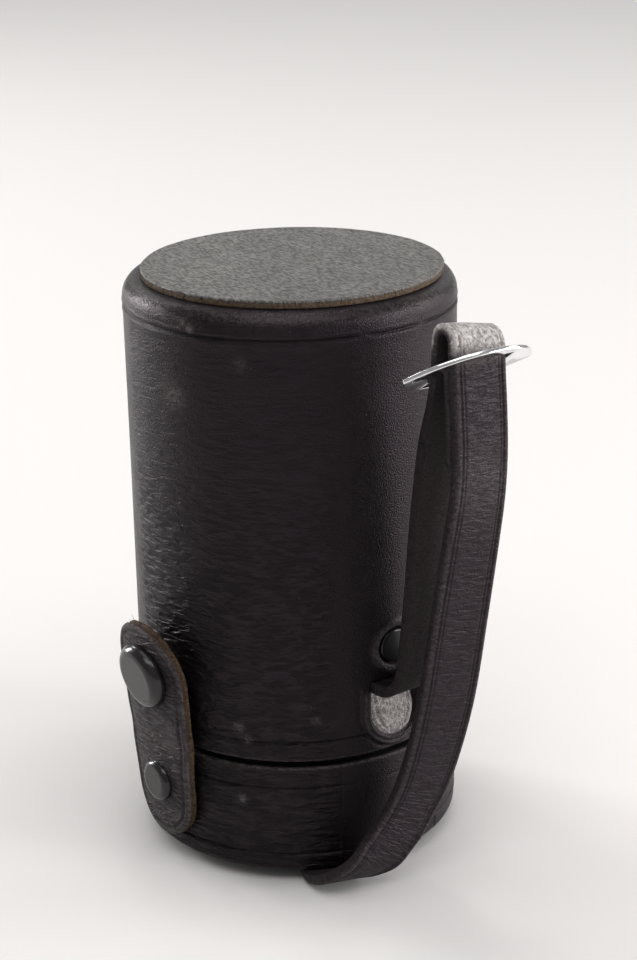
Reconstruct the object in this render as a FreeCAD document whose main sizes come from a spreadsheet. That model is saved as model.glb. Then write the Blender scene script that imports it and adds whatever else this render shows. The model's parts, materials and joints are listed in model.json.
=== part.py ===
"""Round hard-leather lens case, standing on its short lid, with snap flap and carrying strap.

The case stands the way it is stored: the short lid is at the bottom and the tall body is above it.
+Z is up, the axis of the case is Z, and z = 0 is the surface that it stands on.  The strap passes
under the lid, so the lid starts one strap thickness above z = 0.  The snap flap is on -Y and the
strap leaves the body on +X and -X.  All sizes are in millimetres.
"""
import FreeCAD, Part
import math
import os
import Sketcher
from FreeCAD import Placement, Rotation, Vector

DOC = FreeCAD.newDocument("LensCase")

# ---------------------------------------------------------------- driving dimensions

DRIVING = [
    ("case_radius", 37.0, "outer radius of lid and body"),
    ("case_length", 132.2, "lid face to the outer face of the end disc"),
    ("lid_length", 26.4, "lid face to lid rim"),
    ("rim_gap", 1.5, "gap between the two rims when shut"),
    ("leather", 1.2, "outer leather"),
    ("body_board", 2.3, "board under the body leather"),
    ("lid_board", 1.55, "board under the lid leather"),
    ("glue_gap", 0.05, "bond line between nested pieces"),
    ("collar_wall", 1.1, "inner tube that forms the collar"),
    ("lining", 0.4, "pile lining"),
    ("shoulder", 4.3, "outer radius of the rounded shoulder"),
    ("lid_edge", 1.8, "outer radius of the lid edge"),
    ("disc_radius", 33.4, "raw-edged end disc"),
    ("disc_shift_x", 0.36, "the end disc is glued on a little off centre"),
    ("disc_shift_y", 0.48, "the end disc is glued on a little off centre"),
    ("disc_thick", 1.7, "raw-edged end disc"),
    ("turn_in_radius", 28.9, "inner edge of the turned-in leather"),
    ("crease_depth", 0.35, "pressed lines round the case"),
    ("crease_width", 0.9, "pressed lines round the case"),
    ("crease_from_end", 7.7, "pressed line below the end disc"),
    ("crease_from_rim", 4.6, "pressed line beside each rim"),
    ("crease_from_face", 4.65, "pressed line beside the lid face"),
    ("pad_thick", 3.0, "felt pads at both ends"),
    ("strap_width", 13.0, "carrying strap"),
    ("strap_thick", 2.6, "carrying strap"),
    ("strap_skew", 25.0, "degrees the strap is turned where it passes under the lid"),
    ("under_half", 31.0, "half length of the strap under the lid"),
    ("flap_thick", 2.4, "flap leather"),
    ("flap_lean", 9.0, "degrees the flap stands off the wall when snapped"),
    ("flap_low_radius", 10.4, "rounded riveted end"),
    ("flap_high_radius", 12.2, "rounded free end"),
    ("flap_low_centre", 16.4, "height of the riveted end's centre"),
    ("snap_height", 47.2, "snap fastener above the standing surface"),
    ("rivet_height", 19.7, "flap rivet above the standing surface"),
    ("anchor_height", 55.2, "strap rivet above the standing surface"),
    ("slot_low", 45.2, "lower edge of the strap slot"),
    ("slot_high", 48.0, "upper edge of the strap slot"),
    ("scoop_low", 33.6, "lowest point of the strap scoop"),
    ("scoop_depth", 2.6, "depth of the scoop at the slot"),
    ("scoop_radius", 6.6, "rounded end of the scoop"),
    ("snap_cap_radius", 7.75, "15.5 mm snap cap"),
    ("rivet_cap_radius", 4.9, "flap rivet cap"),
    ("post_radius", 1.4, "posts of snap and rivets"),
    ("rim_round", 0.5, "rounded leather at both rims"),
    ("board_pocket_radius", 4.6, "pocket in a board round a washer"),
    ("board_pocket_depth", 0.95, "pocket in a board round a washer"),
    ("snap_seat_radius", 4.3, "pressed seat of the snap stud"),
    ("snap_seat_depth", 0.55, "pressed seat of the snap stud"),
    ("stud_flange_radius", 4.2, "snap stud"),
    ("stud_neck_radius", 1.9, "snap stud"),
    ("stud_head_radius", 2.4, "snap stud"),
    ("stud_height", 0.95, "snap stud above the wall"),
    ("snap_cap_height", 2.9, "snap cap above the flap"),
    ("snap_cap_round", 2.3, "rounded edge of the snap cap"),
    ("snap_post_radius", 2.2, "snap cap's post in the flap"),
    ("snap_well_radius", 1.2, "well in the post, over the stud"),
    ("socket_radius", 5.2, "snap socket"),
    ("socket_mouth", 2.95, "opening of the snap socket"),
    ("rivet_cap_height", 2.0, "flap rivet cap"),
    ("rivet_cap_round", 1.6, "rounded edge of the flap rivet cap"),
    ("flap_washer_radius", 4.4, "washer of the flap rivet"),
    ("washer_thick", 0.6, "washers of snap and flap rivet"),
    ("anchor_seat_radius", 4.5, "sunk seat of a strap rivet"),
    ("anchor_seat_depth", 0.9, "sunk seat of a strap rivet"),
    ("anchor_head_radius", 3.9, "strap rivet"),
    ("anchor_head_height", 0.8, "strap rivet"),
    ("anchor_head_round", 0.6, "strap rivet"),
    ("anchor_washer_radius", 3.6, "washer of a strap rivet"),
    ("anchor_washer_thick", 0.35, "washer of a strap rivet"),
    ("tab_thick", 0.65, "skived strap end behind the board"),
    ("tail_thick", 1.8, "skived free end of the strap"),
    ("slider_length", 31.0, "strap slider"),
    ("slider_half_width", 9.9, "strap slider"),
    ("slider_thick", 1.0, "strap slider"),
    ("slider_slot_play", 0.9, "free length beside the strap at each end of the slot"),
    ("slider_slot_in", -7.5, "inner edge of the slot, from the slider's middle"),
    ("slider_slot_out", 6.3, "outer edge of the slot, from the slider's middle"),
    ("slider_tilt", 34.0, "degrees the slider's outer edge is lifted"),
    ("slider_roll", 2.0, "degrees the slider hangs to one side"),
    ("slider_swing", 3.0, "degrees the slider is swung round the strap"),
    ("slider_level", 124.2, "height of the slider's middle"),
    ("fold_spring_right", 129.6, "height where the right fold's half circle starts"),
    ("fold_spring_left", 93.0, "height where the left fold's half circle starts"),
]


class Size:
    """A length with its value and the sheet expression that gives it."""

    def __init__(self, value, text):
        self.value = value
        self.text = text

    def combine(self, other, sign):
        if isinstance(other, Size):
            number, text = other.value, other.text
        else:
            number, text = float(other), repr(float(other))
        results = {
            "+": self.value + number,
            "-": self.value - number,
            "*": self.value * number,
        }
        return Size(results[sign], "(%s %s %s)" % (self.text, sign, text))

    def __add__(self, other):
        return self.combine(other, "+")

    def __sub__(self, other):
        return self.combine(other, "-")

    def __mul__(self, other):
        return self.combine(other, "*")

    def __neg__(self):
        return Size(-self.value, "(0 - %s)" % self.text)


def make_sheet():
    """Write the driving dimensions and return them by name."""
    sheet = DOC.addObject("Spreadsheet::Sheet", "dims")
    sizes = {}
    for row, (alias, value, note) in enumerate(DRIVING, start=1):
        sheet.set("A%d" % row, alias)
        sheet.set("B%d" % row, repr(value))
        sheet.set("C%d" % row, note)
        sheet.setAlias("B%d" % row, alias)
        sizes[alias] = Size(value, "dims." + alias)
    DOC.recompute()
    return sizes


D = make_sheet()
ZERO = Size(0.0, "0")

# ---------------------------------------------------------------- levels and radii

LID_FACE = D["strap_thick"]
LID_RIM = LID_FACE + D["lid_length"]
BODY_RIM = LID_RIM + D["rim_gap"]
BODY_END = LID_FACE + D["case_length"]
DISC_SEAT = BODY_END - D["disc_thick"]
SHOULDER_LOW = DISC_SEAT - D["shoulder"]

LEATHER_IN = D["case_radius"] - D["leather"]
BOARD_OUT = LEATHER_IN - D["glue_gap"]
BODY_BOARD_IN = BOARD_OUT - D["body_board"]
COLLAR_OUT = BODY_BOARD_IN - D["glue_gap"]
COLLAR_IN = COLLAR_OUT - D["collar_wall"]
BODY_LINING_IN = COLLAR_IN - D["lining"] - D["glue_gap"]
LID_BOARD_IN = BOARD_OUT - D["lid_board"]
LID_LINING_OUT = LID_BOARD_IN - D["glue_gap"]

LID_BOARD_LOW = LID_FACE + D["leather"] + D["glue_gap"]
LID_BOARD_HIGH = LID_BOARD_LOW + 2.45
LID_FLOOR = LID_BOARD_HIGH + D["glue_gap"] + D["lining"] + 0.15
COLLAR_LOW = LID_FLOOR + 0.35
COLLAR_HIGH = SHOULDER_LOW + 0.2
BODY_CEILING = COLLAR_HIGH - 0.6

FLAP_IN = D["case_radius"] + D["glue_gap"]
FLAP_OUT = FLAP_IN + D["flap_thick"]
HINGE_LEVEL = BODY_RIM + 0.1

NODES = []


def node(obj, label):
    """Give a finished sub-part its node name."""
    obj.Label = label
    NODES.append(obj)
    return obj


# ---------------------------------------------------------------- building blocks

def bind(obj, name, size):
    obj.setExpression(name, size.text)


def upright(name, radius, low, high):
    """A vertical cylinder on the case axis."""
    cylinder = DOC.addObject("Part::Cylinder", name)
    bind(cylinder, "Radius", radius)
    bind(cylinder, "Height", high - low)
    bind(cylinder, "Placement.Base.z", low)
    return cylinder


def cut(name, base, tool):
    result = DOC.addObject("Part::Cut", name)
    result.Base = base
    result.Tool = tool
    return result


def common(name, shapes):
    result = DOC.addObject("Part::MultiCommon", name)
    result.Shapes = shapes
    return result


def fused(name, shapes):
    result = DOC.addObject("Part::MultiFuse", name)
    result.Shapes = shapes
    return result


def tube(name, outer, inner, low, high):
    wall = upright(name + "_outside", outer, low, high)
    hollow = upright(name + "_inside", inner, low - 1, high + 1)
    return cut(name, wall, hollow)


def box(name, low, high):
    """A box between two corners, each given as three sizes."""
    result = DOC.addObject("Part::Box", name)
    for side, axis, start, end in zip(("Length", "Width", "Height"), "xyz", low, high):
        bind(result, side, end - start)
        bind(result, "Placement.Base." + axis, start)
    return result


def radial(name, radius, near, far, level, heading):
    """A cylinder along a horizontal radius of the case.

    It runs from near to far, measured from the case axis, at the given level.  The heading is the
    angle of that radius: 0 is +X, 180 is -X and 270 is -Y.
    """
    cylinder = DOC.addObject("Part::Cylinder", name)
    bind(cylinder, "Radius", radius)
    bind(cylinder, "Height", far - near)
    lying = Rotation(Vector(0, 0, 1), heading).multiply(Rotation(Vector(0, 1, 0), 90))
    cylinder.Placement = Placement(Vector(0, 0, 0), lying)
    bind(cylinder, "Placement.Base.x", near * round(math.cos(math.radians(heading)), 9))
    bind(cylinder, "Placement.Base.y", near * round(math.sin(math.radians(heading)), 9))
    bind(cylinder, "Placement.Base.z", level)
    return cylinder


def turned_copy(name, sources, heading):
    """A group of shapes turned round the case axis."""
    holder = DOC.addObject("Part::Compound", name)
    holder.Links = sources
    holder.Placement = Placement(Vector(0, 0, 0), Rotation(Vector(0, 0, 1), heading))
    return holder


def origin_plane(body, role):
    for feature in body.Origin.OriginFeatures:
        if feature.Role == role:
            return feature
    raise RuntimeError("no plane " + role)


def new_sketch(body, name, role):
    sketch = body.newObject("Sketcher::SketchObject", name)
    sketch.AttachmentSupport = [(origin_plane(body, role), "")]
    sketch.MapMode = "FlatFace"
    return sketch


def constrain(sketch, kind, arguments, size):
    """Add a dimension to a sketch and bind it to its expression."""
    index = sketch.addConstraint(Sketcher.Constraint(kind, *arguments, size.value))
    sketch.setExpression("Constraints[%d]" % index, size.text)


def place_point(sketch, geometry, end, across, up):
    """Hold one end of a line at a distance from the sketch's origin."""
    for kind, size, axis in (("DistanceX", across, -2), ("DistanceY", up, -1)):
        if size is ZERO:
            sketch.addConstraint(Sketcher.Constraint("PointOnObject", geometry, end, axis))
        else:
            constrain(sketch, kind, (-1, 1, geometry, end), size)


def closed_outline(sketch, corners):
    """Draw a closed outline through corners, each a pair of sizes."""
    points = [Vector(across.value, up.value, 0) for across, up in corners]
    count = len(points)
    for index in range(count):
        line = Part.LineSegment(points[index], points[(index + 1) % count])
        sketch.addGeometry(line, False)
    for index in range(count):
        sketch.addConstraint(Sketcher.Constraint("Coincident", index, 2, (index + 1) % count, 1))
    for index, (across, up) in enumerate(corners):
        place_point(sketch, index, 1, across, up)


def turned(name, corners, rounds=()):
    """A body turned round Z from corners of radius and height.

    Each entry of rounds is a radius, a level and the fillet that the circular edge there gets.
    """
    body = DOC.addObject("PartDesign::Body", name)
    sketch = new_sketch(body, name + "_profile", "XZ_Plane")
    closed_outline(sketch, corners)
    turn = body.newObject("PartDesign::Revolution", name + "_turn")
    turn.Profile = sketch
    turn.ReferenceAxis = (sketch, ["V_Axis"])
    turn.Angle = 360.0
    DOC.recompute()
    feature = turn
    for index, (radius, level, fillet) in enumerate(rounds):
        edges = circular_edges(feature.Shape, radius.value, level.value)
        feature_new = body.newObject("PartDesign::Fillet", "%s_round%d" % (name, index))
        feature_new.Base = (feature, edges)
        bind(feature_new, "Radius", fillet)
        DOC.recompute()
        feature = feature_new
    body.Tip = feature
    return body


def circular_edges(shape, radius, level):
    """Names of the circular edges with this radius at this level."""
    names = []
    for index, edge in enumerate(shape.Edges, start=1):
        curve = edge.Curve
        if not isinstance(curve, Part.Circle):
            continue
        same_radius = abs(curve.Radius - radius) < 1e-4
        same_level = abs(curve.Center.z - level) < 1e-4
        if same_radius and same_level:
            names.append("Edge%d" % index)
    return names


def ring_crease(name, level):
    """The ring that a pressed line takes out of the wall."""
    half = D["crease_width"] * 0.5
    corners = [
        (D["case_radius"] - D["crease_depth"], level),
        (D["case_radius"] + 0.2, level - half),
        (D["case_radius"] + 0.2, level + half),
    ]
    return turned(name, corners)


# ---------------------------------------------------------------- strap bands

def unit(vector):
    result = Vector(vector)
    result.normalize()
    return result


def band(name, route, width, thick, start=None, end=None):
    """A flat leather band along a route of (x, y, z, degrees that its width is turned).

    At 0 degrees the width lies along Y, and it turns towards +X.  The directions start and end
    square off the two ends where the band meets another piece.
    """
    points = [Vector(x, y, z) for x, y, z, turn in route]
    last = len(points) - 1
    fixed = {0: start, last: end}
    sections = []
    for index, (x, y, z, turn) in enumerate(route):
        before = points[max(index - 1, 0)]
        after = points[min(index + 1, last)]
        along = unit(fixed.get(index) or after - before)
        across = Vector(math.sin(math.radians(turn)), math.cos(math.radians(turn)), 0)
        across = unit(across - along * across.dot(along))
        normal = along.cross(across)
        side = across * (width / 2)
        face = normal * (thick / 2)
        corners = [-side - face, side - face, side + face, face - side]
        corners = [points[index] + corner for corner in corners]
        sections.append(Part.makePolygon(corners + corners[:1]))
    result = DOC.addObject("Part::Feature", name)
    result.Shape = Part.makeLoft(sections, True, True)
    result.Placement = Placement()
    return result


# ---------------------------------------------------------------- lid

def lid_shell():
    """Leather of the lid, turned in over the lid face."""
    corners = [
        (D["case_radius"], LID_FACE),
        (D["case_radius"], LID_RIM),
        (LEATHER_IN, LID_RIM),
        (LEATHER_IN, LID_FACE + D["leather"]),
        (D["turn_in_radius"], LID_FACE + D["leather"]),
        (D["turn_in_radius"], LID_FACE),
    ]
    edge = (D["case_radius"], LID_FACE, D["lid_edge"])
    rim = (D["case_radius"], LID_RIM, D["rim_round"])
    shell = turned("lid_leather_turned", corners, [edge, rim])
    tools = [
        ring_crease("lid_crease_rim", LID_RIM - D["crease_from_rim"] - 0.6),
        ring_crease("lid_crease_face", LID_FACE + D["crease_from_face"]),
        radial("lid_leather_hole", D["post_radius"] + 0.1, LEATHER_IN - 2,
               D["case_radius"] + 1, D["rivet_height"], 270),
    ]
    node(cut("lid_leather_cut", shell, fused("lid_leather_tools", tools)), "lid_leather_shell")


def lid_inside():
    node(upright("lid_face", D["turn_in_radius"] - D["glue_gap"], LID_FACE,
                 LID_FACE + D["leather"]), "lid_face_leather")
    node(upright("lid_floor", BOARD_OUT, LID_BOARD_LOW, LID_BOARD_HIGH), "lid_end_board")
    wall = tube("lid_board", BOARD_OUT, LID_BOARD_IN, LID_BOARD_HIGH + D["glue_gap"],
                LID_RIM - 0.2)
    pocket = fused("lid_board_tools", [
        radial("lid_board_hole", D["post_radius"] + 0.1, LID_BOARD_IN - 2, BOARD_OUT + 1,
               D["rivet_height"], 270),
        radial("lid_board_pocket", D["board_pocket_radius"], LID_BOARD_IN - 2,
               LID_BOARD_IN + D["board_pocket_depth"], D["rivet_height"], 270),
    ])
    node(cut("lid_board_cut", wall, pocket), "lid_board_tube")
    node(upright("lid_floor_lining", LID_LINING_OUT, LID_BOARD_HIGH + D["glue_gap"], LID_FLOOR),
         "lid_lining_disc")
    node(tube("lid_wall_lining", LID_LINING_OUT, LID_LINING_OUT - D["lining"],
              LID_FLOOR + D["glue_gap"], LID_RIM - 0.4), "lid_lining_tube")
    node(upright("lid_pad", BODY_LINING_IN - 0.5, LID_FLOOR + D["glue_gap"],
                 LID_FLOOR + D["pad_thick"]), "lid_felt_pad")


# ---------------------------------------------------------------- body

def body_shell():
    """Leather of the body, with its shoulder, pressed lines, strap slots and rivet seats."""
    corners = [
        (D["case_radius"], BODY_RIM),
        (D["case_radius"], DISC_SEAT),
        (D["turn_in_radius"], DISC_SEAT),
        (D["turn_in_radius"], DISC_SEAT - D["leather"]),
        (LEATHER_IN, DISC_SEAT - D["leather"]),
        (LEATHER_IN, BODY_RIM),
    ]
    outer = (D["case_radius"], DISC_SEAT, D["shoulder"])
    inner = (LEATHER_IN, DISC_SEAT - D["leather"], D["shoulder"] - D["leather"])
    rim = (D["case_radius"], BODY_RIM, D["rim_round"])
    shell = turned("body_leather_turned", corners, [outer, inner, rim])
    tools = [
        ring_crease("body_crease_end", BODY_END - D["crease_from_end"]),
        ring_crease("body_crease_rim", BODY_RIM + D["crease_from_rim"]),
        radial("snap_seat", D["snap_seat_radius"], D["case_radius"] - D["snap_seat_depth"],
               D["case_radius"] + 1, D["snap_height"], 270),
        radial("snap_hole", D["post_radius"] + 0.1, LEATHER_IN - 2, D["case_radius"] + 1,
               D["snap_height"], 270),
    ]
    for side, heading in (("right", 0), ("left", 180)):
        tools.append(strap_opening("leather_" + side, heading))
        tools.append(radial("anchor_seat_" + side, D["anchor_seat_radius"],
                            D["case_radius"] - D["anchor_seat_depth"], D["case_radius"] + 1,
                            D["anchor_height"], heading))
        tools.append(radial("anchor_hole_" + side, D["post_radius"] + 0.1, LEATHER_IN - 2,
                            D["case_radius"] + 1, D["anchor_height"], heading))
    node(cut("body_leather_cut", shell, fused("body_leather_tools", tools)), "body_leather_shell")


def scoop_prism(name, radius, near, far, high):
    """A U-shaped block along X: straight sides above, a half circle below."""
    centre = D["scoop_low"] + D["scoop_radius"]
    bottom = radial(name + "_round", radius, near, far, centre, 0)
    above = box(name + "_straight", (near, -radius, centre), (far, radius, high))
    return fused(name, [bottom, above])


def strap_opening(name, heading):
    """The cut for the scoop and for the slot above it."""
    prism = scoop_prism("opening_" + name, D["scoop_radius"], COLLAR_OUT + 0.05,
                        D["case_radius"] + 2, D["slot_high"])
    prism.Placement = Placement(Vector(0, 0, 0), Rotation(Vector(0, 0, 1), heading))
    return prism


def body_inside():
    wall = tube("body_board", BOARD_OUT, BODY_BOARD_IN, BODY_RIM + 0.3, SHOULDER_LOW - 0.1)
    tools = [
        radial("snap_board_hole", D["post_radius"] + 0.1, COLLAR_OUT - 1, BOARD_OUT + 1,
               D["snap_height"], 270),
        radial("snap_board_pocket", D["board_pocket_radius"], COLLAR_OUT - 2,
               BODY_BOARD_IN + D["board_pocket_depth"], D["snap_height"], 270),
    ]
    for side, heading in (("right", 0), ("left", 180)):
        tools.append(strap_opening("board_" + side, heading))
        tools.append(radial("anchor_board_hole_" + side, D["post_radius"] + 0.1, COLLAR_OUT - 1,
                            BOARD_OUT + 1, D["anchor_height"], heading))
        half = D["strap_width"] * 0.5 + 0.1
        pocket = box("tab_pocket_" + side, (COLLAR_OUT - 2, -half, D["slot_high"] - 1),
                     (COLLAR_OUT + 1.3, half, D["anchor_height"] + 8.3))
        tools.append(turned_copy("tab_pocket_turned_" + side, [pocket], heading))
    node(cut("body_board_cut", wall, fused("body_board_tools", tools)), "body_board_tube")
    node(upright("body_end_board_disc", D["case_radius"] - D["shoulder"] - 0.1,
                 SHOULDER_LOW + 0.5, DISC_SEAT - D["leather"] - 0.1), "body_end_board")
    disc = upright("end_disc", D["disc_radius"], DISC_SEAT, BODY_END)
    bind(disc, "Placement.Base.x", D["disc_shift_x"])
    bind(disc, "Placement.Base.y", D["disc_shift_y"])
    node(disc, "body_end_disc")
    node(tube("collar", COLLAR_OUT, COLLAR_IN, COLLAR_LOW, COLLAR_HIGH), "body_collar_tube")
    node(tube("body_wall_lining", COLLAR_IN - D["glue_gap"], BODY_LINING_IN, COLLAR_LOW + 0.3,
              BODY_CEILING - 0.1), "body_lining_tube")
    node(upright("body_end_lining", COLLAR_IN - D["glue_gap"], BODY_CEILING, COLLAR_HIGH),
         "body_lining_disc")
    node(upright("body_pad", BODY_LINING_IN - 0.2, BODY_CEILING - 0.1 - D["pad_thick"],
                 BODY_CEILING - 0.1), "body_felt_pad")


# ---------------------------------------------------------------- snap, rivets and washers

def turned_along(name, corners, heading, level, rounds=()):
    """A round piece turned about a horizontal radius of the case.

    Its corners are (radius, distance from the case axis).
    """
    piece = turned(name, corners, rounds)
    lying = Rotation(Vector(0, 0, 1), heading).multiply(Rotation(Vector(0, 1, 0), 90))
    piece.Placement = Placement(Vector(0, 0, level.value), lying)
    bind(piece, "Placement.Base.z", level)
    return piece


def domed_rivet(name, heading, level, seat, head_radius, head_height, post_end, edge):
    """A rivet: a domed head that sits at the seat distance and a post that runs inwards."""
    corners = [
        (ZERO, post_end),
        (D["post_radius"], post_end),
        (D["post_radius"], seat),
        (head_radius, seat),
        (head_radius, seat + head_height),
        (ZERO, seat + head_height),
    ]
    top = (head_radius, seat + head_height, edge)
    return turned_along(name, corners, heading, level, [top])


def washer(name, heading, level, radius, near, thick):
    plate = radial(name + "_plate", radius, near, near + thick, level, heading)
    hole = radial(name + "_hole", D["post_radius"] + 0.05, near - 1, near + thick + 1, level,
                  heading)
    return cut(name, plate, hole)


def snap_on_body():
    outside = D["case_radius"]
    flange, neck, head = D["stud_flange_radius"], D["stud_neck_radius"], D["stud_head_radius"]
    corners = [
        (ZERO, COLLAR_OUT + 0.1),
        (D["post_radius"], COLLAR_OUT + 0.1),
        (D["post_radius"], outside - 0.5),
        (flange, outside - 0.5),
        (flange, outside - 0.1),
        (neck, outside - 0.1),
        (neck, outside + 0.4),
        (head, outside + 0.5),
        (head, outside + D["stud_height"]),
        (ZERO, outside + D["stud_height"]),
    ]
    node(turned_along("stud", corners, 270, D["snap_height"]), "snap_stud")
    node(washer("stud_washer", 270, D["snap_height"], flange, COLLAR_OUT + 0.1,
                D["washer_thick"]), "snap_stud_washer")


def flap_rivet():
    level = D["rivet_height"]
    post_end = LID_BOARD_IN + 0.1
    head = domed_rivet("flap_rivet", 270, level, FLAP_OUT + 0.05, D["rivet_cap_radius"],
                       D["rivet_cap_height"], post_end, D["rivet_cap_round"])
    node(head, "flap_rivet_cap")
    node(washer("flap_washer", 270, level, D["flap_washer_radius"], post_end,
                D["washer_thick"]), "flap_rivet_washer")


def strap_anchors():
    """Rivets that hold both strap ends, with their washers: one group of each."""
    level = D["anchor_height"]
    rivets = []
    washers = []
    for side, heading in (("right", 0), ("left", 180)):
        rivets.append(domed_rivet("anchor_" + side, heading, level, D["case_radius"] - 0.85,
                                  D["anchor_head_radius"], D["anchor_head_height"],
                                  COLLAR_OUT + 0.1, D["anchor_head_round"]))
        washers.append(washer("anchor_washer_" + side, heading, level,
                              D["anchor_washer_radius"], COLLAR_OUT + 0.1,
                              D["anchor_washer_thick"]))
    node(turned_copy("anchor_group", rivets, 0), "strap_rivets")
    node(turned_copy("anchor_washer_group", washers, 0), "strap_rivet_washers")


# ---------------------------------------------------------------- flap

def flap_outline():
    """The flap cut flat: two round ends of different radius joined by their tangents."""
    body = DOC.addObject("PartDesign::Body", "flap_blank")
    sketch = new_sketch(body, "flap_blank_outline", "XZ_Plane")
    low, high = D["flap_low_radius"], D["flap_high_radius"]
    low_centre = Vector(0, D["flap_low_centre"].value, 0)
    high_centre = Vector(0, D["snap_height"].value, 0)
    lean = math.asin((high.value - low.value) / (high_centre - low_centre).y)
    normal = Vector(0, 0, 1)
    lower = Part.ArcOfCircle(Part.Circle(low_centre, normal, low.value), math.pi + lean,
                             2 * math.pi - lean)
    upper = Part.ArcOfCircle(Part.Circle(high_centre, normal, high.value), -lean,
                             math.pi + lean)
    right = Part.LineSegment(lower.EndPoint, upper.StartPoint)
    left = Part.LineSegment(upper.EndPoint, lower.StartPoint)
    for piece in (lower, right, upper, left):
        sketch.addGeometry(piece, False)
    for first, second in ((0, 1), (1, 2), (2, 3), (3, 0)):
        sketch.addConstraint(Sketcher.Constraint("Tangent", first, 2, second, 1))
    for arc in (0, 2):
        sketch.addConstraint(Sketcher.Constraint("PointOnObject", arc, 3, -2))
    constrain(sketch, "Radius", (0,), low)
    constrain(sketch, "Radius", (2,), high)
    constrain(sketch, "DistanceY", (-1, 1, 0, 3), D["flap_low_centre"])
    constrain(sketch, "DistanceY", (-1, 1, 2, 3), D["snap_height"])
    pad = body.newObject("PartDesign::Pad", "flap_blank_pad")
    pad.Profile = sketch
    bind(pad, "Length", FLAP_OUT + 2)
    DOC.recompute()
    if pad.Shape.BoundBox.YMax > 1:
        pad.Reversed = True
    body.Tip = pad
    return body


def hinge_turn(degrees):
    """Placement that swings a flap piece outwards about the flex line."""
    line = Vector(0, -FLAP_OUT.value, HINGE_LEVEL.value)
    return Placement(Vector(0, 0, 0), Rotation(Vector(1, 0, 0), degrees), line)


def flap():
    blank = flap_outline()
    skin = tube("flap_skin", FLAP_OUT, FLAP_IN, LID_FACE, BODY_END)
    hole = D["post_radius"] + 0.1
    rivet_hole = radial("flap_rivet_hole", hole, LEATHER_IN, FLAP_OUT + 1, D["rivet_height"], 270)
    reach = FLAP_OUT + 1
    low_half = box("flap_low_half", (-reach, -reach, ZERO), (reach, ZERO, HINGE_LEVEL))
    high_half = box("flap_high_half", (-reach, -reach, HINGE_LEVEL), (reach, ZERO, BODY_END))
    root = cut("flap_root_cut", common("flap_root_blank", [blank, skin, low_half]), rivet_hole)
    node(root, "flap_root")

    snap_hole = radial("flap_snap_hole", D["snap_post_radius"] + 0.1, LEATHER_IN, FLAP_OUT + 1,
                       D["snap_height"], 270)
    tongue = cut("flap_tongue_cut", common("flap_tongue_blank", [blank, skin, high_half]),
                 snap_hole)
    cap = cut("snap_cap_cut", snap_cap_blank(), snap_cap_well())
    socket_ring = cut("snap_socket_cut", *snap_socket_shapes())
    lean = D["flap_lean"].value
    for piece, label in ((tongue, "flap_tongue"), (cap, "snap_cap"),
                         (socket_ring, "snap_socket")):
        piece.Placement = hinge_turn(lean)
        node(piece, label)


def snap_cap_blank():
    """Domed cap with a post that fills the flap hole."""
    seat = FLAP_OUT + 0.05
    crown = seat + D["snap_cap_height"]
    corners = [
        (ZERO, FLAP_IN + 0.05),
        (D["snap_post_radius"], FLAP_IN + 0.05),
        (D["snap_post_radius"], seat),
        (D["snap_cap_radius"], seat),
        (D["snap_cap_radius"], crown),
        (ZERO, crown),
    ]
    top = (D["snap_cap_radius"], crown, D["snap_cap_round"])
    return turned_along("snap_cap_dome", corners, 270, D["snap_height"], [top])


def snap_cap_well():
    """Small well in the end of the cap's post, over the stud."""
    return radial("snap_cap_well", D["snap_well_radius"], FLAP_IN - 1, FLAP_IN + 1,
                  D["snap_height"], 270)


def snap_socket_shapes():
    near = FLAP_IN - 1.3
    ring = radial("snap_socket_ring", D["socket_radius"], near, FLAP_IN - 0.4,
                  D["snap_height"], 270)
    mouth = radial("snap_socket_mouth", D["socket_mouth"], near - 1, FLAP_IN + 1,
                   D["snap_height"], 270)
    return ring, mouth


# ---------------------------------------------------------------- scoops and strap

def strap_scoops():
    """Leather wedge under each slot, sloping in from the wall to the slot."""
    rise = D["slot_low"].value - D["scoop_low"].value
    slope = math.degrees(math.atan(D["scoop_depth"].value / rise))
    for side, heading in (("right", 0), ("left", 180)):
        prism = scoop_prism("scoop_block_" + side, D["scoop_radius"] - 0.05, COLLAR_OUT + 0.1,
                            D["case_radius"] + 2, D["slot_low"])
        skin = upright("scoop_skin_" + side, D["case_radius"], LID_RIM, D["slot_low"])
        reach = D["case_radius"]
        waste = box("scoop_waste_" + side, (ZERO, -reach, -reach), (reach, reach, reach))
        tilted = turned_copy("scoop_waste_tilted_" + side, [waste], 0)
        tilted.Placement = Placement(
            Vector(D["case_radius"].value, 0, D["scoop_low"].value),
            Rotation(Vector(0, 1, 0), -slope))
        wedge = cut("scoop_" + side, common("scoop_wall_" + side, [prism, skin]), tilted)
        wedge.Placement = Placement(Vector(0, 0, 0), Rotation(Vector(0, 0, 1), heading))
        node(wedge, "strap_scoop_" + side)


def strap_tabs():
    """Skived strap end: through the slot, then up behind the board to the rivet."""
    half = D["strap_width"] * 0.5 - 0.1
    for side, heading in (("right", 0), ("left", 180)):
        plate = box("tab_plate_" + side, (COLLAR_OUT + 0.5, -half, D["slot_high"] - 0.9),
                    (COLLAR_OUT + D["tab_thick"] + 0.5, half, D["anchor_height"] + 8))
        stub = box("tab_stub_" + side,
                   (COLLAR_OUT + 0.5, -half, D["slot_low"] + 0.1),
                   (D["case_radius"] + 1.0, half, D["slot_high"] - 0.1))
        hole = radial("tab_hole_" + side, D["post_radius"] + 0.05, COLLAR_OUT - 1, BOARD_OUT,
                      D["anchor_height"], 0)
        tab = cut("tab_" + side, fused("tab_solid_" + side, [plate, stub]), hole)
        tab.Placement = Placement(Vector(0, 0, 0), Rotation(Vector(0, 0, 1), heading))
        node(tab, "strap_end_" + side)


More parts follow.
